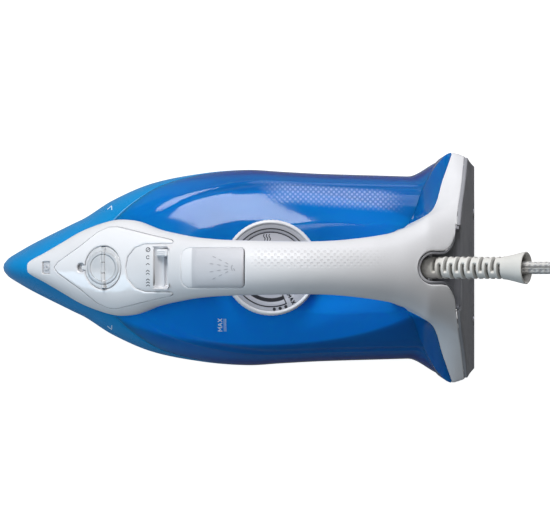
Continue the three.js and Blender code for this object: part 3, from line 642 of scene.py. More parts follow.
def cord_route():
    """From inside the guard over its mouth and down to the floor, round the coil and into the plug."""
    start = GUARD_PIVOT + GUARD_OUT * 44
    run = [start, guard_mouth, (169, 0, 144.9), (183.5, 0, 148.8), (198, -1, 144.9), (208.6, -3, 134.3),
           (212.5, -6, 119.8), (213.5, -12, 98), (214, -21, 70), (214, -28, 48), (214, -30, 33.6),
           (214, -26, 18.8), (214, -15.2, 7.8)]
    end = [(COIL_X + 56, -24, 4.2), (COIL_X + 56, -44, 5), (COIL_X + 52, -59, 9), (COIL_X + 41, -70, 14),
           (PLUG_X + 8, PLUG_Y, PLUG_R - 0.3), (PLUG_X - 6, PLUG_Y, PLUG_R)]
    return spline([*run, *coil_route(), *end], 900)


route = cord_route()
points, faces, along, around = sweep(route, CORD_R)
cord = add("cord", points, faces, CORD, None, 60, {"along": along, "around": around})


def plug_mesh():
    """Two-pin plug with a ribbed bend relief, a waist for the fingers and a flat front."""
    relief, length = PLUG_RELIEF, PLUG_LENGTH
    profile = [(0, 0), (4.3, 0)]
    for k in range(4):
        z = 1.5 + 5 * k
        swell = 4.3 + 0.3 * k
        profile += [(swell + 0.5, z), (swell + 0.6, z + 2.8), (swell - 0.3, z + 3.1), (swell - 0.2, z + 4.7)]
    profile += [(6.2, relief), (12, relief + 3), (16.2, relief + 8), (17.7, relief + 13), (17.9, length - 3),
                (17.2, length - 0.8), (15.6, length), (0, length)]
    radii = [0, 0.4] + [0.3] * 16 + [2, 5, 3, 3, 1.2, 1, 1, 0]
    profile = rounded(profile, radii, closed=False, steps=4)[1:-1]
    angle = full_turn(72)
    rings = turned(profile, 72, (PLUG_X, PLUG_Y, PLUG_R), TOWARDS_NOSE)
    for k, (_, height) in enumerate(profile):
        grip = float(smooth(relief + 9, relief + 14, height) * smooth(length - 1, length - 6, height))
        flat = 1 - 0.07 * grip * (np.abs(np.sin(angle)) ** 6)
        ribs = 1 + 0.006 * grip * np.sin(angle * 24)
        middle = np.array([PLUG_X - height, PLUG_Y, PLUG_R])
        rings[k] = middle + (rings[k] - middle) * (flat * ribs)[:, None]
    return loft(rings)


def pin_mesh(node):
    """Round pin with a blunt tip in the place of a packed one."""
    low, high = (np.array(corner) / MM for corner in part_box(node))
    length = high[0] - low[0]
    profile = [(0, 0), (2.35, 0), (2.35, length - 1.2), (1.2, length), (0, length)]
    profile = rounded(profile, [0, 0.1, 0.8, 0.6, 0], False)[1:-1]
    foot = (high[0], (low[1] + high[1]) / 2, (low[2] + high[2]) / 2)
    return loft(turned(profile, 32, foot, TOWARDS_NOSE))


def tie_mesh():
    """Soft band round the coil's section."""
    low, high = (np.array(corner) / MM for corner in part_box("cord_tie"))
    y0, y1, z1 = low[1] + 0.7, high[1] - 0.7, high[2] - 0.7
    path = rounded([(y0, 0.9), (y1, 0.9), (y1, z1), (y0, z1)], 5, steps=8)
    path = resample(path, 90, closed=True)
    rings = []
    for x, out in ((low[0], 0.35), (low[0] + 0.3, 0.65), (high[0] - 0.3, 0.65), (high[0], 0.35),
                   (high[0], -0.35), (low[0], -0.35)):
        rings.append(np.column_stack([np.full(90, x), offset(path, out)]))
    rings.append(rings[0])
    return loft(rings, False, False)


plug = add("plug", *plug_mesh(), PLUG_WHITE)
for side, node in (("a", "plug_pin_left"), ("b", "plug_pin_right")):
    plain(f"plug_pin_{side}", pin_mesh(node), BRASS, node)
tie = plain("cord_tie_band", tie_mesh(), TIE_BLACK, "cord_tie")
settle(plug, "plug_body")
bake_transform(cord)
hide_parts("cord_run", "cord_coil", "cord_end")


# ---------- body: blue skirt below, tinted tank above ----------
LENGTH = 300
HALF_WIDTH = 62
DECK_Z = 71
plan_half = curve_through(
    (-150, 2.5), (-147.3, 5.7), (-143.6, 8.2), (-131.6, 15.1), (-106.4, 27.7), (-98, 31.8), (-81, 42.6),
    (-56, 53.3), (-24, 59.6), (4, 61.8), (26, 60.6), (51, 59.3), (114, 57.4), (136, 56.3), (142, 54),
    (145.5, 49), (146.5, 43))
level_back = curve_through(
    (4.2, 3), (9, 0.8), (18, 0), (32, 4), (43, 11), (53, 24), (60, 42), (64, 62), (68, 85), (71, 115))
level_narrow = curve_through(
    (4.2, 2.4), (9, 0.6), (18, 0), (32, 0.4), (43, 3), (53, 8), (60, 14), (64, 20), (68, 27), (71, 34))
level_flare = curve_through(
    (4.2, 5), (9, 9), (18, 11), (32, 11.5), (43, 13.5), (53, 17), (60, 21), (64, 19), (68, 10), (71, 2))
seam_height = curve_through(
    (-200, 60), (-120, 58), (-92, 56), (-70, 50), (-45, 41), (-10, 32), (40, 26), (90, 24), (200, 24))
crease_height = curve_through((-100, 62), (-74, 60), (-40, 57), (0, 54.5), (40, 53), (120, 52))
HEEL_FOOT_X, HEEL_LEAN, COVER_THICK, GAP = 154.5, 0.225, 2.5, 0.35


def heel_x(z, ahead=0.0):
    """Station of the leaning heel face at a height."""
    return HEEL_FOOT_X - HEEL_LEAN * np.asarray(z, float) - ahead


def plan_side(count):
    """One side of the plan outline from the nose's tip to the middle of the heel."""
    spans = ((-150, -140, 60), (-139.8, 140, 500), (140.1, 146.5, 60))
    x = np.concatenate([np.linspace(*span) for span in spans])
    nose = [(-150.5, 0), (-150.42, 0.9), (-150.25, 1.8)]
    heel = [(146.8, 36), (146.9, 24), (146.9, 12), (146.9, 0)]
    return resample(np.vstack([nose, np.column_stack([x, plan_half(x)]), heel]), count)


def drawn_in(plan, nose, back, narrow):
    """Plan points squeezed between a nose and a back station, and towards the middle line."""
    share = (plan[:, 0] + LENGTH / 2) / LENGTH
    return nose + (back - nose) * share, plan[:, 1] * (HALF_WIDTH - narrow) / HALF_WIDTH


def body_point(plan, z, inset=0.0):
    """Points of the body's skin above plan points, at a height."""
    nose = -LENGTH / 2 + level_back(z) + 1.6 * inset
    x, y = drawn_in(plan, nose, LENGTH / 2 - inset, level_narrow(z) + inset)
    y = y + level_flare(z) * smooth(106, 131, plan[:, 0]) * np.minimum(plan[:, 1] / 43, 1)
    return np.column_stack([x, y, z * np.ones_like(x)])


def seam_z(plan):
    """Height at which each column of the skin meets the seam."""
    low, high = np.full(len(plan), 10.0), np.full(len(plan), float(DECK_Z))
    for _ in range(40):
        z = (low + high) / 2
        above = z > seam_height(body_point(plan, z)[:, 0])
        high = np.where(above, z, high)
        low = np.where(above, low, z)
    return (low + high) / 2


def whole_ring(side):
    """Closed ring from one side's points; both ends lie on the middle line."""
    return np.vstack([side, side[1:-1][::-1] * MIRROR])


def skirt_mesh():
    """From a lip under the foot edge up to a lip behind the seam."""
    plan = plan_side(160)
    top = seam_z(plan)
    rings = [whole_ring(body_point(plan, np.full(len(plan), 4.2), inset)) for inset in (3.4, 1.6, 0.5)]
    for share in np.linspace(0, 1, 26):
        z = 4.4 + (top - 4.9) * share
        rings.append(whole_ring(body_point(plan, z, 0.25 * float(smooth(0.03, 0, share)))))
    for below, inset in ((0.32, 0.06), (0.16, 0.2), (0.08, 0.45), (0.1, 1.4)):
        rings.append(whole_ring(body_point(plan, top - below, inset)))
    return loft(rings, False, False)


def heel_line(y):
    """Where the tank ends and the white heel begins, seen from above."""
    return 112 - GAP + (np.abs(y) - 28) * 16 / 42


def tank_line(plan, z, inset=0.0):
    """Skin points up to the heel line, spread again so that the last one lies on it."""
    line = body_point(plan, z, inset)
    last = int(np.argmin(line[:, 0] < heel_line(line[:, 1])))
    a, b = line[last - 1], line[last]
    short_a, short_b = (p[0] - heel_line(p[1]) for p in (a, b))
    end = a + (b - a) * (short_a / (short_a - short_b))
    return resample(np.vstack([line[:last], end]), 190)


def tank_mesh():
    """Sides with a bead and a groove along the crease, then the flat deck."""
    plan = plan_side(620)
    foot = seam_z(plan)
    lip = ((0.12, 1.4), (0.1, 0.5), (0.2, 0.2), (0.4, 0.06))
    lines = [tank_line(plan, foot + up, inset) for up, inset in lip]
    shares = np.concatenate([np.linspace(0, 0.3, 12, endpoint=False), np.linspace(0.3, 1, 70)])
    for share in shares[1:]:
        z = foot + 0.6 + (DECK_Z - 0.6 - foot) * share
        above = z - crease_height(body_point(plan, z)[:, 0])
        bead = 0.55 * np.exp(-(above / 0.8) ** 2) - 0.5 * np.exp(-((above - 2.0) / 1.1) ** 2)
        bead += 0.4 * np.exp(-((above - 4.6) / 0.9) ** 2)
        bead = bead * smooth(-100, -70, plan[:, 0]) * smooth(foot + 0.5, foot + 3.0, z)
        lines.append(tank_line(plan, z, -bead))
    edge = lines[-1]
    for shrink in (0.96, 0.8, 0.5, 0.0):
        lines.append(at_height(edge[:, :2] * np.array([1, shrink]), DECK_Z + 0.12))
    points, faces = strips(lines, wrap=False)
    return mirrored(points, flipped(faces))


# ---------- white shell: hood, handle and heel ----------
shell_top = curve_through(
    (-130, 51), (-120, 59), (-110, 65.5), (-80, 81), (-60, 93), (-40, 108.5), (-20, 126), (0, 137.5),
    (25, 144), (45, 145), (70, 141.5), (95, 133.5), (110, 126), (122, 118), (152, 96))
shell_half = curve_through(
    (-130, 4), (-121, 8), (-108, 15.2), (-96, 22), (-84, 26.6), (-74, 29), (-66, 29), (-58, 27.6),
    (-46, 23), (-34, 20), (-20, 17.4), (0, 15.8), (45, 15), (65, 16.2), (88, 19.6), (99, 23.2),
    (106, 26.5), (112, 30), (152, 36))
shell_rounding = curve_through(
    (-130, 3), (-110, 10), (-90, 17), (-70, 21), (-50, 23), (-30, 21), (0, 16), (45, 14.5), (80, 16),
    (105, 20), (152, 22))
wing_half = curve_through((124, 67), (131, 70), (137, 68.5), (142, 66), (152, 64))
WALL_FOOT = 20
CROWN, FLANK = 28.0, 60.0


def shell_width(x, z):
    share = smooth(100, 128, x) * np.clip((118 - z) / 56, 0, 1) ** 2.2
    return shell_half(x) + (wing_half(x) - shell_half(x)) * share


def shell_point(x, q):
    """Point of the shell's skin at a station and a place round the section, 0 on top."""
    x, q = np.broadcast_arrays(np.asarray(x, float), np.asarray(q, float))
    place = np.abs(q)
    v = np.where(place <= CROWN, place / CROWN, 1 + (place - CROWN) / FLANK)
    top, deep = shell_top(x), shell_rounding(x)
    a = np.minimum(v, 1) * math.pi / 2
    shoulder = top - deep
    z = np.where(v <= 1, top - deep * (1 - np.cos(a)), shoulder + (WALL_FOOT - shoulder) * (v - 1))
    y = np.sign(q) * shell_width(x, z) * np.sin(a)
    return np.stack([x, y, z], axis=-1)


def lifted(x, q, lift):
    """Skin point moved along the skin's normal."""
    h = 0.05
    along = shell_point(x + h, q) - shell_point(x - h, q)
    across = shell_point(x, q + h) - shell_point(x, q - h)
    normal = np.cross(along, across)
    normal /= np.linalg.norm(normal, axis=-1, keepdims=True)
    return shell_point(x, q) + normal * np.broadcast_to(lift, np.shape(q))[..., None]


def q_of_y(x, y):
    """Place round the section of the top's point at a distance from the middle line."""
    x, y = np.broadcast_arrays(np.asarray(x, float), np.asarray(y, float))
    z = shell_top(x)
    for _ in range(30):
        a = np.arcsin(np.clip(np.abs(y) / shell_width(x, z), 0, 1))
        z = 0.5 * z + 0.5 * (shell_top(x) - shell_rounding(x) * (1 - np.cos(a)))
    return np.sign(y) * CROWN * a / (math.pi / 2)


def q_of_z(x, z):
    """Place round the section at a height."""
    x, z = np.broadcast_arrays(np.asarray(x, float), np.asarray(z, float))
    top, deep = shell_top(x), shell_rounding(x)
    shoulder = top - deep
    on_crown = CROWN * np.arccos(np.clip(1 - (top - z) / deep, 0, 1)) / (math.pi / 2)
    return np.where(z > shoulder, on_crown, CROWN + FLANK * (shoulder - z) / (shoulder - WALL_FOOT))


def unrolled(plan):
    """Plan points as (station, place round the section)."""
    return np.column_stack([plan[:, 0], q_of_y(plan[:, 0], plan[:, 1])])


def on_shell(plan, lift=0.0):
    """Plan points put on the shell's skin."""
    return lifted(*unrolled(plan).T, lift)


def inside(points, loop):
    x, y = points[:, 0], points[:, 1]
    hit = np.zeros(len(points), bool)
    for (ax, ay), (bx, by) in zip(loop, np.roll(loop, -1, axis=0)):
        if ay != by:
            crosses = (ay > y) != (by > y)
            hit ^= crosses & (x < ax + (y - ay) / (by - ay) * (bx - ax))
    return hit


def within(points, loops):
    """Which points lie inside the first loop and outside the others."""
    keep = inside(points, loops[0])
    for hole in loops[1:]:
        keep &= ~inside(points, hole)
    return keep


def fill(outer, holes, spacing):
    """Triangles over the region between an outer loop and holes, in a plane."""
    loops = [outer, *holes]
    low, high = outer.min(0), outer.max(0)
    rows = []
    for k, y in enumerate(np.arange(low[1] + spacing / 2, high[1], spacing * 0.87)):
        x = np.arange(low[0] + spacing * (0.5 + 0.5 * (k % 2)), high[0], spacing)
        rows.append(np.column_stack([x, np.full(len(x), y)]))
    net = np.vstack(rows)
    net = net[within(net, loops)]
    rim = np.vstack(loops)
    near = np.full(len(net), np.inf)
    for chunk in np.array_split(rim, max(1, len(rim) // 200)):
        near = np.minimum(near, ((net[:, None, :] - chunk[None]) ** 2).sum(-1).min(1))
    points = np.vstack([rim, net[near > (0.45 * spacing) ** 2]])
    edges, start = [], 0
    for loop in loops:
        n = len(loop)
        edges += [(start + i, start + (i + 1) % n) for i in range(n)]
        start += n
    out, _, faces, *_ = delaunay_2d_cdt([Vector(p) for p in points], edges, [], 0, 1e-7)
    flat = np.array([p[:] for p in out])
    faces = np.array([f for f in faces if len(f) == 3])
    keep = within(flat[faces].mean(1), loops)
    return flat, [tuple(f) for f in faces[keep]]


def edge_strip(loop, way, depth, radius, lift=0.0, place=on_shell):
    """Rounded edge along a plan loop that ends in a wall: way -1 is a piece's rim, 1 a hole's."""
    rings = [place(offset(loop, way * inset), lift - drop) for inset, drop in rounding(radius, 4)]
    return strips([*rings, place(loop, lift - depth)])


def panel_mesh(outer, holes, lift, depth, radius, spacing):
    """A panel on the shell's skin, with rounded edges and holes, from plan outlines."""
    loops = [unrolled(offset(outer, -radius)), *[unrolled(offset(hole, radius)) for hole in holes]]
    plane, faces = fill(loops[0], loops[1:], spacing)
    rims = [edge_strip(outer, -1, depth, radius, lift)]
    rims += [edge_strip(hole, 1, depth, radius, lift) for hole in holes]
    return combined((lifted(*plane.T, lift), faces), *rims)


def slope_at(x):
    return math.atan(float(shell_top(x + 2) - shell_top(x - 2)) / 4)


# ---------- outlines on the shell, seen from above ----------
FILLER_X, FILLER_R = -80, 13.2
WINDOW_X, NOZZLE_X = -43.8, -117
FILLER_COS, WINDOW_COS, NOZZLE_COS = (math.cos(slope_at(x)) for x in (FILLER_X, WINDOW_X, NOZZLE_X))
BUTTON_FRONT, BUTTON_REAR, BUTTON_HALF = -31, 5.5, 11.4
SLOT_HALF, SLOT_FLOOR, SLOT_FRONT = 9.6, 98, 113.3
SLOT_EDGE = 0.9
MOUTH, MOUTH_FRONT = 15.0, 118.5
GRIP_DEPTH = 9
FLARE_LIFT = 0.35


def circle(x, y, radius, count=120, squash=1.0):
    angle = full_turn(count)
    return np.column_stack([x + radius * squash * np.cos(angle), y + radius * np.sin(angle)])


def rectangle(x0, x1, y0, y1, radius, count=80):
    return resample(rounded([(x0, y0), (x1, y0), (x1, y1), (x0, y1)], radius), count, closed=True)


def cover_outline():
    side = [(-111.6, 0), (-109, 3.2), (-95, 12.8), (-84, 21.6), (-77.5, 24.4), (-72, 24.6), (-62, 22.2),
            (-50, 19.2), (-37.6, 16.4), (-36.3, 15.3), (-37.4, 14.3), (-46, 14.3), (-54, 14.2), (-60, 12),
            (-64.5, 6.5), (-65.6, 0)]
    points = [*side, *[(x, -y) for x, y in reversed(side) if y > 0]]
    return resample(rounded(points, 1.2, steps=4), 420, closed=True)


def button_outline():
    points = [(BUTTON_FRONT, -BUTTON_HALF), (BUTTON_REAR, -BUTTON_HALF), (BUTTON_REAR, BUTTON_HALF),
              (BUTTON_FRONT, BUTTON_HALF)]
    return resample(rounded(points, [6, 2.5, 2.5, 6], steps=10), 240, closed=True)


def window_outline():
    front, rear = WINDOW_X - 6 * WINDOW_COS, WINDOW_X + 5.6 * WINDOW_COS
    points = [(front, -11.4), (rear, -12.8), (rear, 12.8), (front, 11.4)]
    return resample(rounded(points, 1.4), 160, closed=True)


def nozzle_outline():
    reach = 3.4 * NOZZLE_COS
    return rectangle(NOZZLE_X - reach, NOZZLE_X + reach, -3.9, 3.9, 0.7)


def keyhole_side(grow, reach, mouth=MOUTH):
    """The slot's outline on the +Y side, from the heel's plane round its flared mouth to its front."""
    half = SLOT_HALF + grow
    front = polar(half, np.linspace(math.pi / 2, math.pi, 60), (SLOT_FRONT, 0))
    turn = np.linspace(math.pi / 2, 0, 24)
    along = MOUTH_FRONT + (reach - MOUTH_FRONT) * np.sin(turn)
    return np.vstack([np.column_stack([along, half + mouth * (1 - np.cos(turn))]), front])


gap_line = spline([(-13.5, 71.2), (-15.5, 86), (-12, 101), (0, 111.5), (22, 116.3), (46, 117), (66, 114.5),
                   (82, 106.5), (90, 92), (90, 71.2)], 140)
gap_along = np.gradient(gap_line, axis=0)
gap_along /= np.linalg.norm(gap_along, axis=1, keepdims=True)
gap_out = np.column_stack([-gap_along[:, 1], gap_along[:, 0]])
gap_rim = gap_line + gap_out * (GRIP_DEPTH + GAP)


def where_heel_cuts(lowest, nearest, count, ahead):
    """Places round the shell where it meets the heel's plane, as (station, place)."""
    q = np.linspace(float(q_of_z(140, lowest)), nearest, count)
    x = np.full(count, 130.0)
    for _ in range(60):
        x = 0.5 * x + 0.5 * heel_x(shell_point(x, q)[:, 2], ahead)
    return np.column_stack([x, q])


def rear_edge():
    """The shell's rear rim on one side, from the wing's foot up to the slot: station and place."""
    edge = where_heel_cuts(24.4, 2.0, 400, COVER_THICK + GAP)
    y = shell_point(*edge.T)[:, 1]
    return resample(edge[y > SLOT_HALF + SLOT_EDGE + MOUTH], 70)


def shell_outline():
    """Half of the shell's outer loop as (station, place), on the +Y side."""
    front = np.column_stack([np.full(12, -130.0), np.linspace(0, float(q_of_z(-130, 44)), 12)])
    foot = curve_through((-130, 44), (-112, 50), (-85, 56), (-60, 60), (200, 60))
    x = np.linspace(-129, gap_rim[0, 0] - 1, 60)
    lower = np.column_stack([x, q_of_z(x, foot(x))])
    opening = np.column_stack([gap_rim[:, 0], q_of_z(gap_rim[:, 0], gap_rim[:, 1])])
    tail_foot = curve_through((100, 60), (112, 24.4), (200, 24.4))
    x = np.linspace(gap_rim[-1, 0] + 1, 145.5, 60)
    tail = np.column_stack([x, q_of_z(x, tail_foot(x))])
    back = rear_edge()
    return np.vstack([front, lower, opening, tail, back, unrolled(keyhole_side(SLOT_EDGE, back[-1, 0])[1:])])


def gap_rings():
    """Rounded edge of the shell round the hand gap."""
    rings = []
    rim = shell_point(gap_rim[:, 0], q_of_z(gap_rim[:, 0], gap_rim[:, 1]))
    for k in range(5):
        a = math.pi / 2 * k / 4
        slide = gap_out * 0.35 * math.sin(a)
        inwards = np.full(len(rim), 0.5 * (1 - math.cos(a)))
        rings.append(rim - np.column_stack([slide[:, 0], inwards, slide[:, 1]]))
    return [*rings, rings[-1] - np.array([0, 3, 0])]


def slot_strip():
    """Rounded edge of the keyhole slot and its upright wall."""
    reach = rear_edge()[-1, 0]
    top = on_shell(keyhole_side(SLOT_EDGE, reach))[:, 2]
    rings = [at_height(keyhole_side(inset, reach), top - low) for inset, low in rounding(SLOT_EDGE, 5)]
    rings.append(at_height(keyhole_side(0, reach), SLOT_FLOOR - 1.0))
    rings = [np.vstack([r[0] + np.array([1.0, 0, -0.6]), r]) for r in rings]
    return strips([np.vstack([r, r[:-1][::-1] * MIRROR]) for r in rings], wrap=False)


def rear_rings():
    """Rounded rear rim of the heel, turned in towards the grey cover."""
    radius = 0.8
    back = rear_edge()
    rings = []
    for k in range(6):
        a = math.pi / 2 * k / 5
        rings.append(lifted(*back.T, -radius * (1 - math.cos(a))) + np.array([radius * math.sin(a), 0, 0]))
    rings.append(lifted(*back.T, -3.0) + np.array([radius, 0, 0]))
    return rings


def both_strips(rings):
    return strips(rings, wrap=False), strips([r * MIRROR for r in rings], wrap=False)


def shell_mesh():
    """The shell's skin with its holes, and its rounded edges round the gap, the slot and the rear."""
    side = shell_outline()
    side = side[np.concatenate([[True], np.linalg.norm(np.diff(side, axis=0), axis=1) > 1e-6])]
    outer = np.vstack([side, side[1:-1][::-1] * np.array([1, -1])])
    cuts = ((window_outline(), 5.2, 0.35), (offset(button_outline(), GAP), 6.0, 0.45),
            (offset(cover_outline(), GAP), 1.6, 0.3), (nozzle_outline(), 3.0, 0.3))
    holes = [unrolled(offset(loop, radius)) for loop, _, radius in cuts]
    rims = [edge_strip(loop, 1, depth, radius) for loop, depth, radius in cuts]
    plane, faces = fill(outer, holes, 1.5)
    return combined((shell_point(*plane.T), faces), *rims, *both_strips(gap_rings()), slot_strip(),
                    *both_strips(rear_rings()))


flare_line = curve_through((99, 23.6), (103, 26), (109, 29.5), (115.5, 34.2), (119.5, 41), (123, 51),
                           (126.5, 60), (130, 68.8), (134, 80))


def flare_mesh():
    """Blue skin over the heel's wings, back to a line that runs out along each wing."""
    lifts = np.array([-0.4, 0.1, 0.3] + [FLARE_LIFT] * 46)
    rows = []
    for x in np.linspace(102, 130.2, 90):
        q = np.linspace(10, float(q_of_z(x, 24.4)), 600)
        wide = shell_point(x, q)[:, 1] >= flare_line(x)
        start = q[int(np.argmax(wide))] if wide.any() else q[-1] - 1
        places = np.concatenate([start + np.array([-0.8, -0.7, -0.4]), np.linspace(start, q[-1], 46)])
        rows.append(lifted(np.full(len(places), x), places, lifts))
    rows.append(rows[-1] + np.array([0.4, -FLARE_LIFT - 0.3, 0]))
    return mirrored(*strips(rows, wrap=False))


skirt = plain("skirt_shell", skirt_mesh(), BLUE, "skirt")
tank = welded("tank_shell", tank_mesh(), TANK, "tank_lid")
plain("tank_flare", flare_mesh(), TANK)
shell = welded("handle_body", shell_mesh(), WHITE, "handle_shell")


# ---------- pieces in a frame on the shell ----------
def surface_frame(x):
    """Origin on the shell and axes: first climbs the slope, last is the normal."""
    tilt = slope_at(x)
    axes = np.array([[math.cos(tilt), 0, math.sin(tilt)], [0, 1, 0], [-math.sin(tilt), 0, math.cos(tilt)]])
    return np.array([x, 0, float(shell_top(x))]), axes


def put(points, place):
    origin, axes = place
    return points @ axes + origin


def block(outline, z0, z1, radius, place, crown=0.0):
    """An outline raised between two heights in a frame, with a rounded upper edge and a crowned top."""
    rings = [at_height(outline, z0)]
    for inset, drop in reversed(rounding(radius, 4)):
        rings.append(at_height(offset(outline, -inset), z1 - drop))
    if crown:
        inner = rings[-1][:, :2]
        for share in (0.75, 0.5, 0.25, 0.02):
            shrunk = inner * share + (1 - share) * inner.mean(0)
            rings.append(at_height(shrunk, z1 + crown * (1 - share ** 2)))
    points, faces = loft(rings)
    return put(points, place), faces


filler_frame = surface_frame(FILLER_X)
window_frame = surface_frame(WINDOW_X)
nozzle_frame = surface_frame(NOZZLE_X)

# ---------- hood panel and filler lid ----------
DIMPLE_FAR, DIMPLE_R = FILLER_R + 2.7, 2.9
CREASE_DEPTH = 1
LID_GAP = 0.45


def on_slope(loop, count):
    """A flat outline round the filler's middle as it looks from above on the slope."""
    return resample(np.column_stack([loop[:, 0] * FILLER_COS + FILLER_X, loop[:, 1]]), count, closed=True)


def filler_opening():
    """Plan outline of the filler's hole with its neck and round finger dimple towards the nose."""
    radius, neck = FILLER_R + 0.05, 1.75
    start = math.pi - math.asin(neck / radius)
    disc = polar(radius, np.linspace(start, -start, 150))
    opening = math.asin(neck / DIMPLE_R)
    dimple = polar(DIMPLE_R, np.linspace(-opening, -2 * math.pi + opening, 80), (-DIMPLE_FAR, 0))
    return on_slope(np.vstack([disc, dimple])[::-1], 300)


def front_half_disc():
    """Plan outline of the lid's lifting half, with its finger tab."""
    radius, tab = FILLER_R - LID_GAP, 1.3
    reach, neck = math.acos(-1.3 / radius), math.asin(tab / radius)
    upper = polar(radius, np.linspace(reach, math.pi - neck, 60))
    tab_end = polar(tab, np.linspace(math.pi / 2, 1.5 * math.pi, 20), (-FILLER_R - 1.1, 0))
    lower = polar(radius, np.linspace(math.pi + neck, 2 * math.pi - reach, 60))
    return on_slope(np.vstack([upper, tab_end, lower]), 240)


def rear_half_disc():
    """Plan outline of the lid's fixed half."""
    radius = FILLER_R - LID_GAP
    reach = math.acos(1.5 / radius)
    return on_slope(polar(radius, np.linspace(-reach, reach, 120)), 240)


def barrel(y0, y1):
    """Hinge barrel of the filler lid, along its crease."""
    radius = 1.4
    profile = rounded([(0, y0), (radius, y0), (radius, y1), (0, y1)], [0, 0.25, 0.25, 0], False)
    origin, axes = filler_frame
    return loft(turned(profile[1:-1], 28, origin - axes[2] * CREASE_DEPTH, [axes[0], axes[2], [0, 1, 0]]))


def lid_half(name, outline, barrels, node, body):
    """Half of the clear lid: its welded panel together with its hinge barrels."""
    half = weld(add(name, *panel_mesh(outline, [], 0.0, 1.7, 0.35, 0.9), CLEAR, None))
    points = np.array([v.co[:] for v in half.data.vertices]) / MM
    faces = [tuple(p.vertices) for p in half.data.polygons]
    bpy.data.objects.remove(half)
    mesh = combined((points, faces), *[barrel(y0, y1) for y0, y1 in barrels])
    plain(name, mesh, CLEAR, node, body)


def dimple_mesh():
    """Shallow bowl under the finger dimple."""
    x = FILLER_X - DIMPLE_FAR * FILLER_COS
    steps = ((DIMPLE_R + 0.5, 1.9), (DIMPLE_R - 0.4, 2.2), (1.4, 2.5), (0.3, 2.6))
    rings = [on_shell(circle(x, 0, radius, 40, FILLER_COS), -depth) for radius, depth in steps]
    return loft(rings, False, True)


def funnel_mesh():
    """Bowl under the lid, with a stepped throat and a soft inner valve at its bottom."""
    inner = [(12.6, -3.4), (12.2, -3.0), (11.8, -3.4), (10.2, -6.6), (9.0, -9.5), (8.6, -11.6), (4, -11.9),
             (0.4, -11.2)]
    outer = [(0.4, -12.6), (9.6, -12.6), (10.6, -7.2), (12.6, -4.4), (12.6, -3.4)]
    return loft(turned([*rounded(inner, 0.5, False), *outer], 72, *filler_frame), False, False)


hood = panel_mesh(cover_outline(), [filler_opening()], 0.35, 1.5, 0.7, 1.1)
welded("front_panel", hood, WHITE_GLOSS, "front_cover")
plain("finger_dimple", dimple_mesh(), PART_GREY)
lid_half("filler_lid_front", front_half_disc(), [(-3, 3)], "filler_flap", "flap")
lid_half("filler_lid_rear", rear_half_disc(), [(-12.2, -3.4), (3.4, 12.2)], "filler_plate", ROOT)
funnel_plastic = moulded("funnel_white", "d3d6da", 0.35)
plain("filler_bowl", funnel_mesh(), funnel_plastic, "filler_funnel")


# ---------- steam slider and spray nozzle ----------
def track_mesh():
    """Hollow guide under the window, with a slot for the slider's stem."""
    half, long, slot = 5.7, 12.5, 1.6
    side = [*np.linspace(half, slot + 0.1, 14), slot + 0.02, slot]
    u, v = np.meshgrid([*[-w for w in side], *side[::-1]], np.linspace(-long, long, 60), indexing="ij")
    depth = -5.0 + 3.6 * (np.abs(u) / half) ** 3.2 + 2.4 * (np.abs(v) / long) ** 14
    depth = np.where((np.abs(u) <= slot) & (np.abs(v) < 11.2), -6.6, depth)
    return put(np.stack([u, v, depth], -1).reshape(-1, 3), window_frame), grid_faces(*u.shape)


def slider_mesh():
    body = block(rectangle(-4.4, 4.4, 6.5, 10.8, 1.2), -4.6, -0.9, 0.7, window_frame, crown=0.25)
    ribs = [block(rectangle(-3.2, 3.2, y - 0.22, y + 0.22, 0.2, 40), -1.3, -0.42, 0.15, window_frame)
            for y in (7.6, 8.65, 9.7)]
    stem = block(rectangle(-1.2, 1.2, 7.4, 9.9, 0.3), -9.4, -4.0, 0.1, window_frame)
    return combined(body, *ribs, stem)


def nozzle_mesh():
    """Square jet block with a stepped round mouth."""
    base = block(rectangle(-3.05, 3.05, -3.5, 3.5, 0.6, 72), -3.6, -1.2, 0.4, nozzle_frame)
    profile = [(0.35, -1.6), (0.55, -0.7), (0.8, -0.5), (1.5, -0.5), (1.9, -0.8), (2.2, -1.25)]
    return combined(base, loft(turned(profile, 40, *nozzle_frame), True, False))


welded("slider_track", track_mesh(), moulded("track_grey", "d2d3d7", 0.3), "slide_track")
plain("slider_knob", slider_mesh(), WHITE_GLOSS, "steam_slider", "slider")
plain("nozzle_jet", nozzle_mesh(), PART_GREY, "spray_nozzle")


# ---------- steam button ----------
def pad_lift(plan):
    """The pad stands a little above the button's sloping front lip."""
    front = smooth(-26.0, -22.6, plan[:, 0] - 0.015 * plan[:, 1] ** 2)
    side = smooth(BUTTON_HALF, BUTTON_HALF - 1.6, np.abs(plan[:, 1]))
    rear = smooth(BUTTON_REAR, BUTTON_REAR - 1.2, plan[:, 0])
    return -0.15 + 0.85 * front * (0.35 + 0.65 * side) * (0.6 + 0.4 * rear)


def button_mesh():
    """Pad with a rounded edge and a skirt that reaches down into the shell."""
    radius = 0.6
    up = np.array([0, 0, 1])
    rims = []
    for inset, drop in rounding(radius, 4):
        loop = offset(button_outline(), -inset)
        rims.append(on_shell(loop) + up * (pad_lift(loop) - drop)[:, None])
    rims.append(rims[-1] - up * 6)
    plane, faces = fill(unrolled(offset(button_outline(), -radius)), [], 0.8)
    top = shell_point(*plane.T)
    return combined((top + up * pad_lift(top)[:, None], faces), strips(rims))


button = welded("steam_button_pad", button_mesh(), BUTTON_GREY, "steam_button", "button")


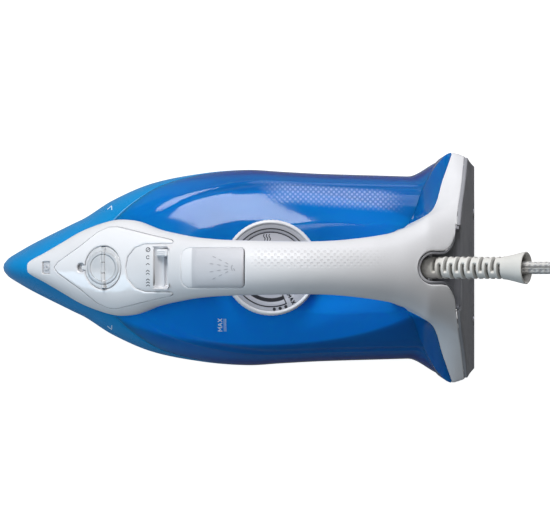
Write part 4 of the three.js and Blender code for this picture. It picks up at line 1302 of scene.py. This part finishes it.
# ---------- underside of the handle ----------
def grip_mesh():
    """Softly rounded lining of the hand gap."""
    rim = gap_line + gap_out * GRIP_DEPTH
    half = shell_width(rim[:, 0], rim[:, 1]) - 0.15
    rings = []
    for j in range(41):
        a = math.pi * (j / 40 - 0.5)
        line = gap_line + gap_out * GRIP_DEPTH * (1 - abs(math.cos(a)) ** 0.8)
        y = half * np.sign(math.sin(a)) * abs(math.sin(a)) ** 0.9
        rings.append(np.column_stack([line[:, 0], y, line[:, 1]]))
    lip = np.array([1, 0.9, 1])
    return strips([rings[0] * lip, *rings, rings[-1] * lip], wrap=False)


welded("grip_lining", grip_mesh(), GRIP, "grip_lower")

# ---------- temperature dial ----------
DIAL_X, DIAL_R, DIAL_BOTTOM, DIAL_TOP = 20.5, 28.8, 71.8, 78.5
DIAL_FACE = DIAL_TOP - 0.9
FACE_R = DIAL_R - 2.7


def dial_mesh():
    """Rim and side of the dial, with a knurled edge."""
    profile = [(2, DIAL_BOTTOM), (DIAL_R - 0.6, DIAL_BOTTOM), (DIAL_R, DIAL_BOTTOM + 1.2),
               (DIAL_R, DIAL_TOP - 1.6), (DIAL_R - 1.0, DIAL_TOP), (DIAL_R - 2.0, DIAL_TOP), (FACE_R, DIAL_FACE)]
    profile = rounded(profile, [0, 0.6, 0.6, 1.2, 0.8, 0.6, 0], False)
    teeth = (0.5 + 0.5 * np.cos(full_turn(432) * 72)) ** 2
    rings = turned(profile, 432)
    for ring, (_, height) in zip(rings, profile):
        knurl = float(smooth(DIAL_BOTTOM + 0.6, DIAL_BOTTOM + 1.6, height))
        knurl *= float(smooth(DIAL_TOP - 1.2, DIAL_TOP - 2.2, height))
        ring[:, :2] *= (1 - 0.012 * knurl * teeth)[:, None]
        ring[:, 0] += DIAL_X
    return loft(rings, True, False)


def dial_face_mesh():
    """Shallow dish inside the rim, with a step round its middle."""
    profile = [(FACE_R + 0.2, -0.2), (FACE_R, 0), (21.6, 0.02), (21.2, -0.25), (20.9, -0.3), (12, -0.3),
               (11.6, -0.1), (11, 0), (0.5, 0.1)]
    return loft(turned(profile, 160, (DIAL_X, 0, DIAL_FACE)), False, True)


welded("dial_ring", dial_mesh(), DIAL_RIM, "temperature_dial", "dial")
dial_face = welded("dial_face", dial_face_mesh(), DIAL_GREY, None, "dial")

# ---------- heel cover, slot lining and cord guard ----------
HEEL_SCREWS = ((34, 26), (-34, 26))
VENT_HEIGHTS = (40, 47, 54)


def on_heel(loop, lift=0.0):
    """Points (y, z) put on the leaning heel face."""
    return np.column_stack([heel_x(loop[:, 1]) + lift, loop[:, 0], loop[:, 1]])


def heel_outline():
    """The leaning rear face as (y, z), with the cord slot open at the top."""
    edge = shell_point(*where_heel_cuts(20.6, 1.0, 500, 1.0).T)[:, 1:]
    half = SLOT_HALF + MOUTH
    edge = edge[edge[:, 0] > half + 0.3]
    side = [(0, 20.6), *edge, (half, edge[-1, 1] - 0.4), (half - 1.5, SLOT_FLOOR + 1.2),
            (SLOT_HALF - 2.2, SLOT_FLOOR - 1.6), (0, SLOT_FLOOR - 1.8)]
    return resample([*side, *[(-y, z) for y, z in reversed(side[1:-1])]], 620, closed=True)


def heel_cover_mesh():
    """Rear plate with screw holes and vents."""
    outer = heel_outline()
    holes = [circle(y, z, 4.3, 60) for y, z in HEEL_SCREWS]
    holes += [rectangle(-16, 16, z - 1.0, z + 1.0, 0.9, 60) for z in VENT_HEIGHTS]
    rims = [edge_strip(outer, -1, 2.2, 0.9, place=on_heel)]
    rims += [edge_strip(hole, 1, 1.6, 0.35, place=on_heel) for hole in holes]
    plane, faces = fill(offset(outer, -0.9), [offset(hole, 0.35) for hole in holes], 2.0)
    return combined((on_heel(plane), faces), *rims)


def cradle_mesh():
    """Lining of the cord slot: a rounded trough that ends at the heel's face."""
    walls = ((9.2, 3.6, 15), (9.2, 1.2, 15), (8.9, 0.9, 15), (8.2, 0.8, 14.8), (7.9, 1.1, 14.6),
             (7.7, 2.4, 14.4))
    floors = ((7.6, 3.4, 14), (7.0, 1.9, 12), (5.6, 0.8, 8), (3.4, 0.3, 3), (1.0, 0.1, 0))
    reach = rear_edge()[-1, 0]

    def trough_line(half, mouth):
        line = keyhole_side(half - SLOT_HALF, reach, mouth)
        line = np.vstack([[heel_x(SLOT_FLOOR, 0.8), line[0, 1]], line])
        return np.vstack([line, line[:-1][::-1] * np.array([1, -1])])

    rings = []
    for half, below, mouth in walls:
        line = trough_line(half, mouth)
        kept = np.column_stack([np.minimum(line[:, 0], reach), line[:, 1]])
        rings.append((line, np.minimum(shell_top(kept[:, 0]) - 1.0, on_shell(kept)[:, 2]) - below))
    for half, above, mouth in floors:
        line = trough_line(half, mouth)
        rings.append((line, np.full(len(line), SLOT_FLOOR + 0.6 + above)))
    rings = [np.column_stack([np.minimum(line[:, 0], heel_x(z, 0.8)), line[:, 1], z]) for line, z in rings]
    return strips(rings, wrap=False)


def guard_mesh():
    """Bend relief: rings joined by webs that change sides at each slot, and a bell at the mouth."""
    segments, pitch, width, depth = 112, 7.2, 1.7, 2.6
    angle = full_turn(segments)
    body_radius = curve_through((0, 6.2), (6, 6.4), (40, 6.3), (47, 6.6), (52, 7.6), (57, 8.8), (59, 9.1))
    rows = [(r, z, np.zeros(segments)) for r, z in ((0.8, -5.6), (2.4, -5.2), (4.0, -4.2), (5.4, -2))]
    slots = [(5.0 + pitch / 2 * k, math.pi / 2 * (k % 2)) for k in range(12)]
    for z in np.concatenate([np.linspace(0, 48, 330), np.linspace(48.2, GUARD_LENGTH, 40)]):
        cut = np.zeros(segments)
        for middle, quarter in slots:
            if middle <= 46:
                across = smooth(width / 2 + 0.3, width / 2 - 0.3, abs(z - middle))
                web = smooth(0.3, 0.45, np.abs(np.sin(angle - quarter - math.pi / 4)))
                cut = np.maximum(cut, across * web)
        rows.append((float(body_radius(z)) - depth * cut, z, cut))
    bell = ((8.8, 59.3), (8.3, 59.2), (7.8, 58.4), (6.8, 55), (5.8, 51), (4.6, 48.6), (3.7, 47.5), (3.7, 44))
    for r, z in bell:
        rows.append((r, z, np.full(segments, float(smooth(59.1, 56.5, z)))))
    points, faces = loft([at_height(polar(r, angle), z) for r, z, _ in rows], True, False)
    return points @ GUARD_AXES + GUARD_PIVOT, faces, np.concatenate([cut for _, _, cut in rows])


welded("heel_plate", heel_cover_mesh(), HEEL_GREY, "heel_cover")
welded("slot_lining", cradle_mesh(), lining_plastic(), "cord_cradle")
points, faces, cuts = guard_mesh()
# The cut share also sets the painted shade in the guard's slots and mouth.
guard = add("cord_relief", points, faces, guard_rubber(), "guard", 50, {"cut": cuts})
settle(guard, "cord_guard")

# ---------- soleplate ----------
STEAM_HOLES = [(-104, 12), (-104, -12), (-88, 20), (-88, -20), (-70, 29), (-70, -29), (-50, 36), (-50, -36),
               (-88, 0), (-62, 8), (-62, -8), (-28, 41), (-28, -41)]


def plate_ring(plan, inset, z):
    x, y = drawn_in(plan, -LENGTH / 2 + 1.6 * inset, 146.0 - inset, inset)
    return whole_ring(np.column_stack([x, y, np.full(len(x), float(z))]))


def sole_mesh():
    """Plate with a rounded edge and stepped steam holes."""
    plan = plan_side(220)
    rows = [(4.4, 3.2), (3.5, 3.2), (3.2, 3.0), (3.2, 1.5), (3.5, 1.0), (4.2, 0.35), (4.9, 0.06), (5.6, 0)]
    rings = [plate_ring(plan, inset, z) for inset, z in rows]
    plane, faces = fill(rings[-1][:, :2], [circle(x, y, 2.6, 40) for x, y in STEAM_HOLES], 3.0)
    steps = ((2.6, 0), (2.3, 0.12), (1.9, 0.6), (1.8, 0.9), (1.8, 3.2))
    cups = [strips([at_height(circle(x, y, r, 40), z) for r, z in steps]) for x, y in STEAM_HOLES]
    return combined(strips(rings), (at_height(plane, 0), faces), *cups)


welded("sole_plate", sole_mesh(), SOLE, "soleplate")


# ---------- printed and raised marks ----------
INK_LIFT, INK_FOOT = 0.05, -0.06


def skin_of(obj):
    points = [tuple(np.array(v.co[:]) / MM) for v in obj.data.vertices]
    return BVHTree.FromPolygons(points, [tuple(p.vertices) for p in obj.data.polygons])


def drop(tree, plan, lift):
    """Plan points dropped onto a skin from above, then moved along its normal."""
    out = []
    last = None
    for x, y in plan:
        place, normal, _, _ = tree.ray_cast(Vector((x, y, 300)), Vector((0, 0, -1)))
        if place is None:
            place, normal = last
        if normal.z < 0:
            normal = -normal
        last = (place, normal)
        out.append(np.array(place[:]) + np.array(normal[:]) * lift)
    return np.array(out)


def ribbon(tree, line, width, lift=INK_LIFT, taper=False):
    """Thin raised line over a skin, along a plan polyline."""
    line = np.asarray(line, float)
    total = float(np.linalg.norm(np.diff(line, axis=0), axis=1).sum())
    line = resample(line, max(3, int(total / 0.7) + 2))
    along = np.gradient(line, axis=0)
    along /= np.linalg.norm(along, axis=1, keepdims=True)
    half = np.full(len(line), width / 2)
    if taper:
        half *= np.sin(np.linspace(0.25, math.pi - 0.25, len(line)))
    out = np.column_stack([-along[:, 1], along[:, 0]]) * half[:, None]
    left, right = line + out, line - out
    corners = ((left, INK_FOOT), (left, lift), (right, lift), (right, INK_FOOT))
    return loft(list(np.stack([drop(tree, *corner) for corner in corners], axis=1)))


def spot(tree, centre, radius):
    """Small printed dot on a skin."""
    loop = circle(*centre, radius, 20)
    return loft([drop(tree, loop, INK_FOOT), drop(tree, loop, INK_LIFT)])


LETTERS = {
    "M": [[(0, 0), (0, 1), (0.4, 0.35), (0.8, 1), (0.8, 0)]],
    "A": [[(0, 0), (0.38, 1), (0.76, 0)], [(0.14, 0.36), (0.62, 0.36)]],
    "X": [[(0, 0), (0.7, 1)], [(0, 1), (0.7, 0)]],
}


def turned_about(points, angle, centre):
    c, s = math.cos(angle), math.sin(angle)
    return np.asarray(points, float) @ np.array([[c, s], [-s, c]]) + np.asarray(centre, float)


def word_strokes(word, height, centre, angle, gap=0.28):
    strokes, pen = [], 0.0
    for letter in word:
        wide = max(p[0] for line in LETTERS[letter] for p in line)
        strokes += [[(pen + x, y) for x, y in line] for line in LETTERS[letter]]
        pen += wide + gap
    middle = np.array([(pen - gap) / 2, 0.5])
    return [turned_about((np.array(line) - middle) * height, angle, centre) for line in strokes]


def arc(centre, radius, start, end, count):
    return polar(radius, np.radians(np.linspace(start, end, count)), centre)


def marks(name, parts, finish, body=ROOT):
    add(name, *combined(*parts), finish, body, 30)


tank_skin, skirt_skin, shell_skin = skin_of(tank), skin_of(skirt), skin_of(shell)
button_skin, face_skin = skin_of(button), skin_of(dial_face)


def steam_icon(tree, centre, size, width):
    """Three wavy plumes."""
    t = np.linspace(0, 1, 14)
    wave = 0.13 * np.sin(t * 2 * math.pi)
    return [ribbon(tree, np.column_stack([k * 0.42 + wave, t - 0.5]) * size + np.array(centre), width)
            for k in (-1, 0, 1)]


def dial_marks():
    centre = (DIAL_X, 0)

    def on_dial(radius, degrees):
        return polar(radius, math.radians(degrees), centre)[0]

    arcs = ((23.4, 5, 293, 200, 0.75), (21.4, -10, 205, 200, 0.85), (19.4, -128, -68, 80, 2.2))
    parts = [ribbon(face_skin, arc(centre, *turn), width) for *turn, width in arcs]
    parts.append(ribbon(face_skin, [on_dial(17.6, -67), on_dial(23.7, -67)], 0.7))
    parts += steam_icon(face_skin, (DIAL_X - 2.4, 18.2), 3.8, 0.6)
    parts += [spot(face_skin, on_dial(25.0, -85.5 + 8.2 * k), 1.0) for k in range(3)]
    parts += [ribbon(face_skin, line, 0.65)
              for line in word_strokes("MAX", 2.3, on_dial(22.3, -57), math.radians(-60))]
    return parts + [spot(face_skin, on_dial(25.0, 142 + 14 * k), 0.8) for k in range(2)]


def spray_icon():
    """Jet and fan of drops, raised on the button's pad."""
    x, y, lift = 0.9, 0.1, 0.12
    parts = []
    for degrees, reach in ((26, (4.6, 8.6, 12.6)), (9, (4.4, 8.6, 12.8)), (-9, (4.4, 8.6, 12.8)),
                           (-26, (4.6, 8.6, 12.6))):
        angle = math.radians(180 - degrees)
        for r in reach:
            jet = polar(np.array([r, r + 2.3]), angle, (x, y))
            parts.append(ribbon(button_skin, jet, 0.55, lift, taper=True))
    for line in ([(-1.9, -1.5), (-2.6, 0), (-1.9, 1.5)], [(-0.6, -1.6), (-1.3, -0.3)]):
        parts.append(ribbon(button_skin, [(x + along, y + across) for along, across in line], 0.5, lift))
    return parts


def window_icons():
    """Steam settings beside the slider: off, economy, low, middle, high."""
    x = -51.6
    parts = [ribbon(shell_skin, arc((x, 10.6), 1.25, 0, 360, 30), 0.4),
             ribbon(shell_skin, [(x - 0.9, 9.7), (x + 0.9, 11.5)], 0.35),
             ribbon(shell_skin, arc((x, 6.1), 0.95, 30, 330, 24), 0.4)]
    for k, y in enumerate((2.2, -2.6, -8.6)):
        for j in range(k + 1):
            at = y + (j - k / 2) * 1.7
            plume = [(x - 1.1, at - 0.45), (x, at + 0.35), (x + 1.1, at - 0.45)]
            parts.append(ribbon(shell_skin, plume, 0.42))
    return parts


def water_marks():
    """Highest water line with its word."""
    word = [ribbon(tank_skin, line, 0.5) for line in word_strokes("MAX", 2.7, (-10.5, -34.8), math.pi / 2)]
    return word + [ribbon(tank_skin, [(x, -38.9), (x, -31.0)], 0.35) for x in (-8.0, -7.0)]


def chevrons():
    """A chevron on each side of the nose."""
    shape = ((-81.6, -1.2), (-79.0, 1.2), (-78.4, -1.8))
    return [ribbon(skirt_skin, [(x, y + way * across) for x, across in shape], 0.45)
            for way, y in ((1, 37.4), (-1, -37.6))]


marks("dial_print", dial_marks(), INK_DARK, "dial")
marks("button_icon", spray_icon(), printed("icon_grey", "a9a9ae"), "button")
marks("slider_icons", window_icons(), INK_DARK)
marks("tank_print", water_marks(), INK_WHITE)
marks("skirt_print", chevrons(), INK_WHITE)

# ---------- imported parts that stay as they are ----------
KEPT = {
    "sole_casting": CAST, "heating_element": ELEMENT, "chamber_gasket": SILICONE, "chamber_cover": STEEL,
    "sole_screw_nose": STEEL, "sole_screw_left": STEEL, "sole_screw_right": STEEL, "tank_base": TANK,
    "filler_pin": STEEL, "valve_rod": BRASS, "valve_seat": SILICONE, "pump_cylinder": PLUG_WHITE,
    "pump_piston": PLUG_WHITE, "pump_spring": STEEL, "spray_hose": SILICONE, "dial_shaft": STEEL,
    "dial_collar": PART_GREY, "thermostat": CERAMIC, "thermal_fuse": CERAMIC, "heel_screw_left": STEEL,
    "heel_screw_right": STEEL, "guard_pin": STEEL, "cord_tail": CORD, "cord_clamp": PART_GREY,
    "terminal_block": CERAMIC, "wire_live": BROWN, "wire_neutral": NEUTRAL, "wire_earth": GREEN,
}
for node, finish in KEPT.items():
    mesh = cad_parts[node].data
    mesh.materials.clear()
    mesh.materials.append(finish.material)
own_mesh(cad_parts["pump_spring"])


# ---------- stage ----------
def area_light(name, place, target, size, energy, color=(1, 1, 1)):
    data = bpy.data.lights.new(name, "AREA")
    data.shape = "RECTANGLE"
    data.size, data.size_y = size
    data.energy = energy
    data.color = color
    light = bpy.data.objects.new(name, data)
    light.location = place
    light.rotation_euler = (Vector(target) - Vector(place)).to_track_quat("-Z", "Y").to_euler()
    bpy.context.scene.collection.objects.link(light)


def pale_floor():
    """Floor that the camera sees as pale paper, though it lights the iron only weakly."""
    half = 3
    corners = [(-half, -half, 0), (half, -half, 0), (half, half, 0), (-half, half, 0)]
    mesh = bpy.data.meshes.new("floor")
    mesh.from_pydata(corners, [], [(0, 1, 2, 3)])
    material = bpy.data.materials.new("floor_paper")
    material.use_nodes = True
    tree = material.node_tree
    shader = tree.nodes["Principled BSDF"]
    shader.inputs["Base Color"].default_value = (0.3, 0.3, 0.3, 1)
    shader.inputs["Roughness"].default_value = 0.9
    shader.inputs["Emission Color"].default_value = (1, 1, 1, 1)
    path = tree.nodes.new("ShaderNodeLightPath")
    level = tree.nodes.new("ShaderNodeMath")
    level.operation = "MULTIPLY"
    level.inputs[1].default_value = 0.94
    tree.links.new(path.outputs["Is Camera Ray"], level.inputs[0])
    tree.links.new(level.outputs[0], shader.inputs["Emission Strength"])
    mesh.materials.append(material)
    floor = bpy.data.objects.new("floor", mesh)
    bpy.context.scene.collection.objects.link(floor)


def white_surroundings():
    """World that the camera sees as white, with a weak even light."""
    world = bpy.data.worlds.new("studio")
    world.use_nodes = True
    tree = world.node_tree
    sky = tree.nodes["Background"]
    sky.inputs["Color"].default_value = (1, 1, 1, 1)
    path = tree.nodes.new("ShaderNodeLightPath")
    level = tree.nodes.new("ShaderNodeMapRange")
    level.inputs["To Min"].default_value = 0.12
    level.inputs["To Max"].default_value = 1.0
    tree.links.new(path.outputs["Is Camera Ray"], level.inputs["Value"])
    tree.links.new(level.outputs[0], sky.inputs["Strength"])
    bpy.context.scene.world = world


pale_floor()
white_surroundings()
area_light("key", (-0.3, 1.15, 1.05), (0.0, 0.0, 0.05), (0.55, 0.8), 20)
area_light("fill", (-0.95, -0.5, 0.65), (-0.1, 0.0, 0.05), (0.8, 0.6), 5.6, (0.62, 0.82, 1.0))
area_light("overhead", (-0.15, 0.25, 1.7), (0.02, 0.0, 0.05), (0.5, 0.4), 3)
area_light("low side", (0.3, 1.1, 0.3), (0.03, 0.0, 0.05), (0.7, 0.35), 2.5, (0.86, 0.88, 1.0))
bpy.context.scene.view_settings.view_transform = "Standard"
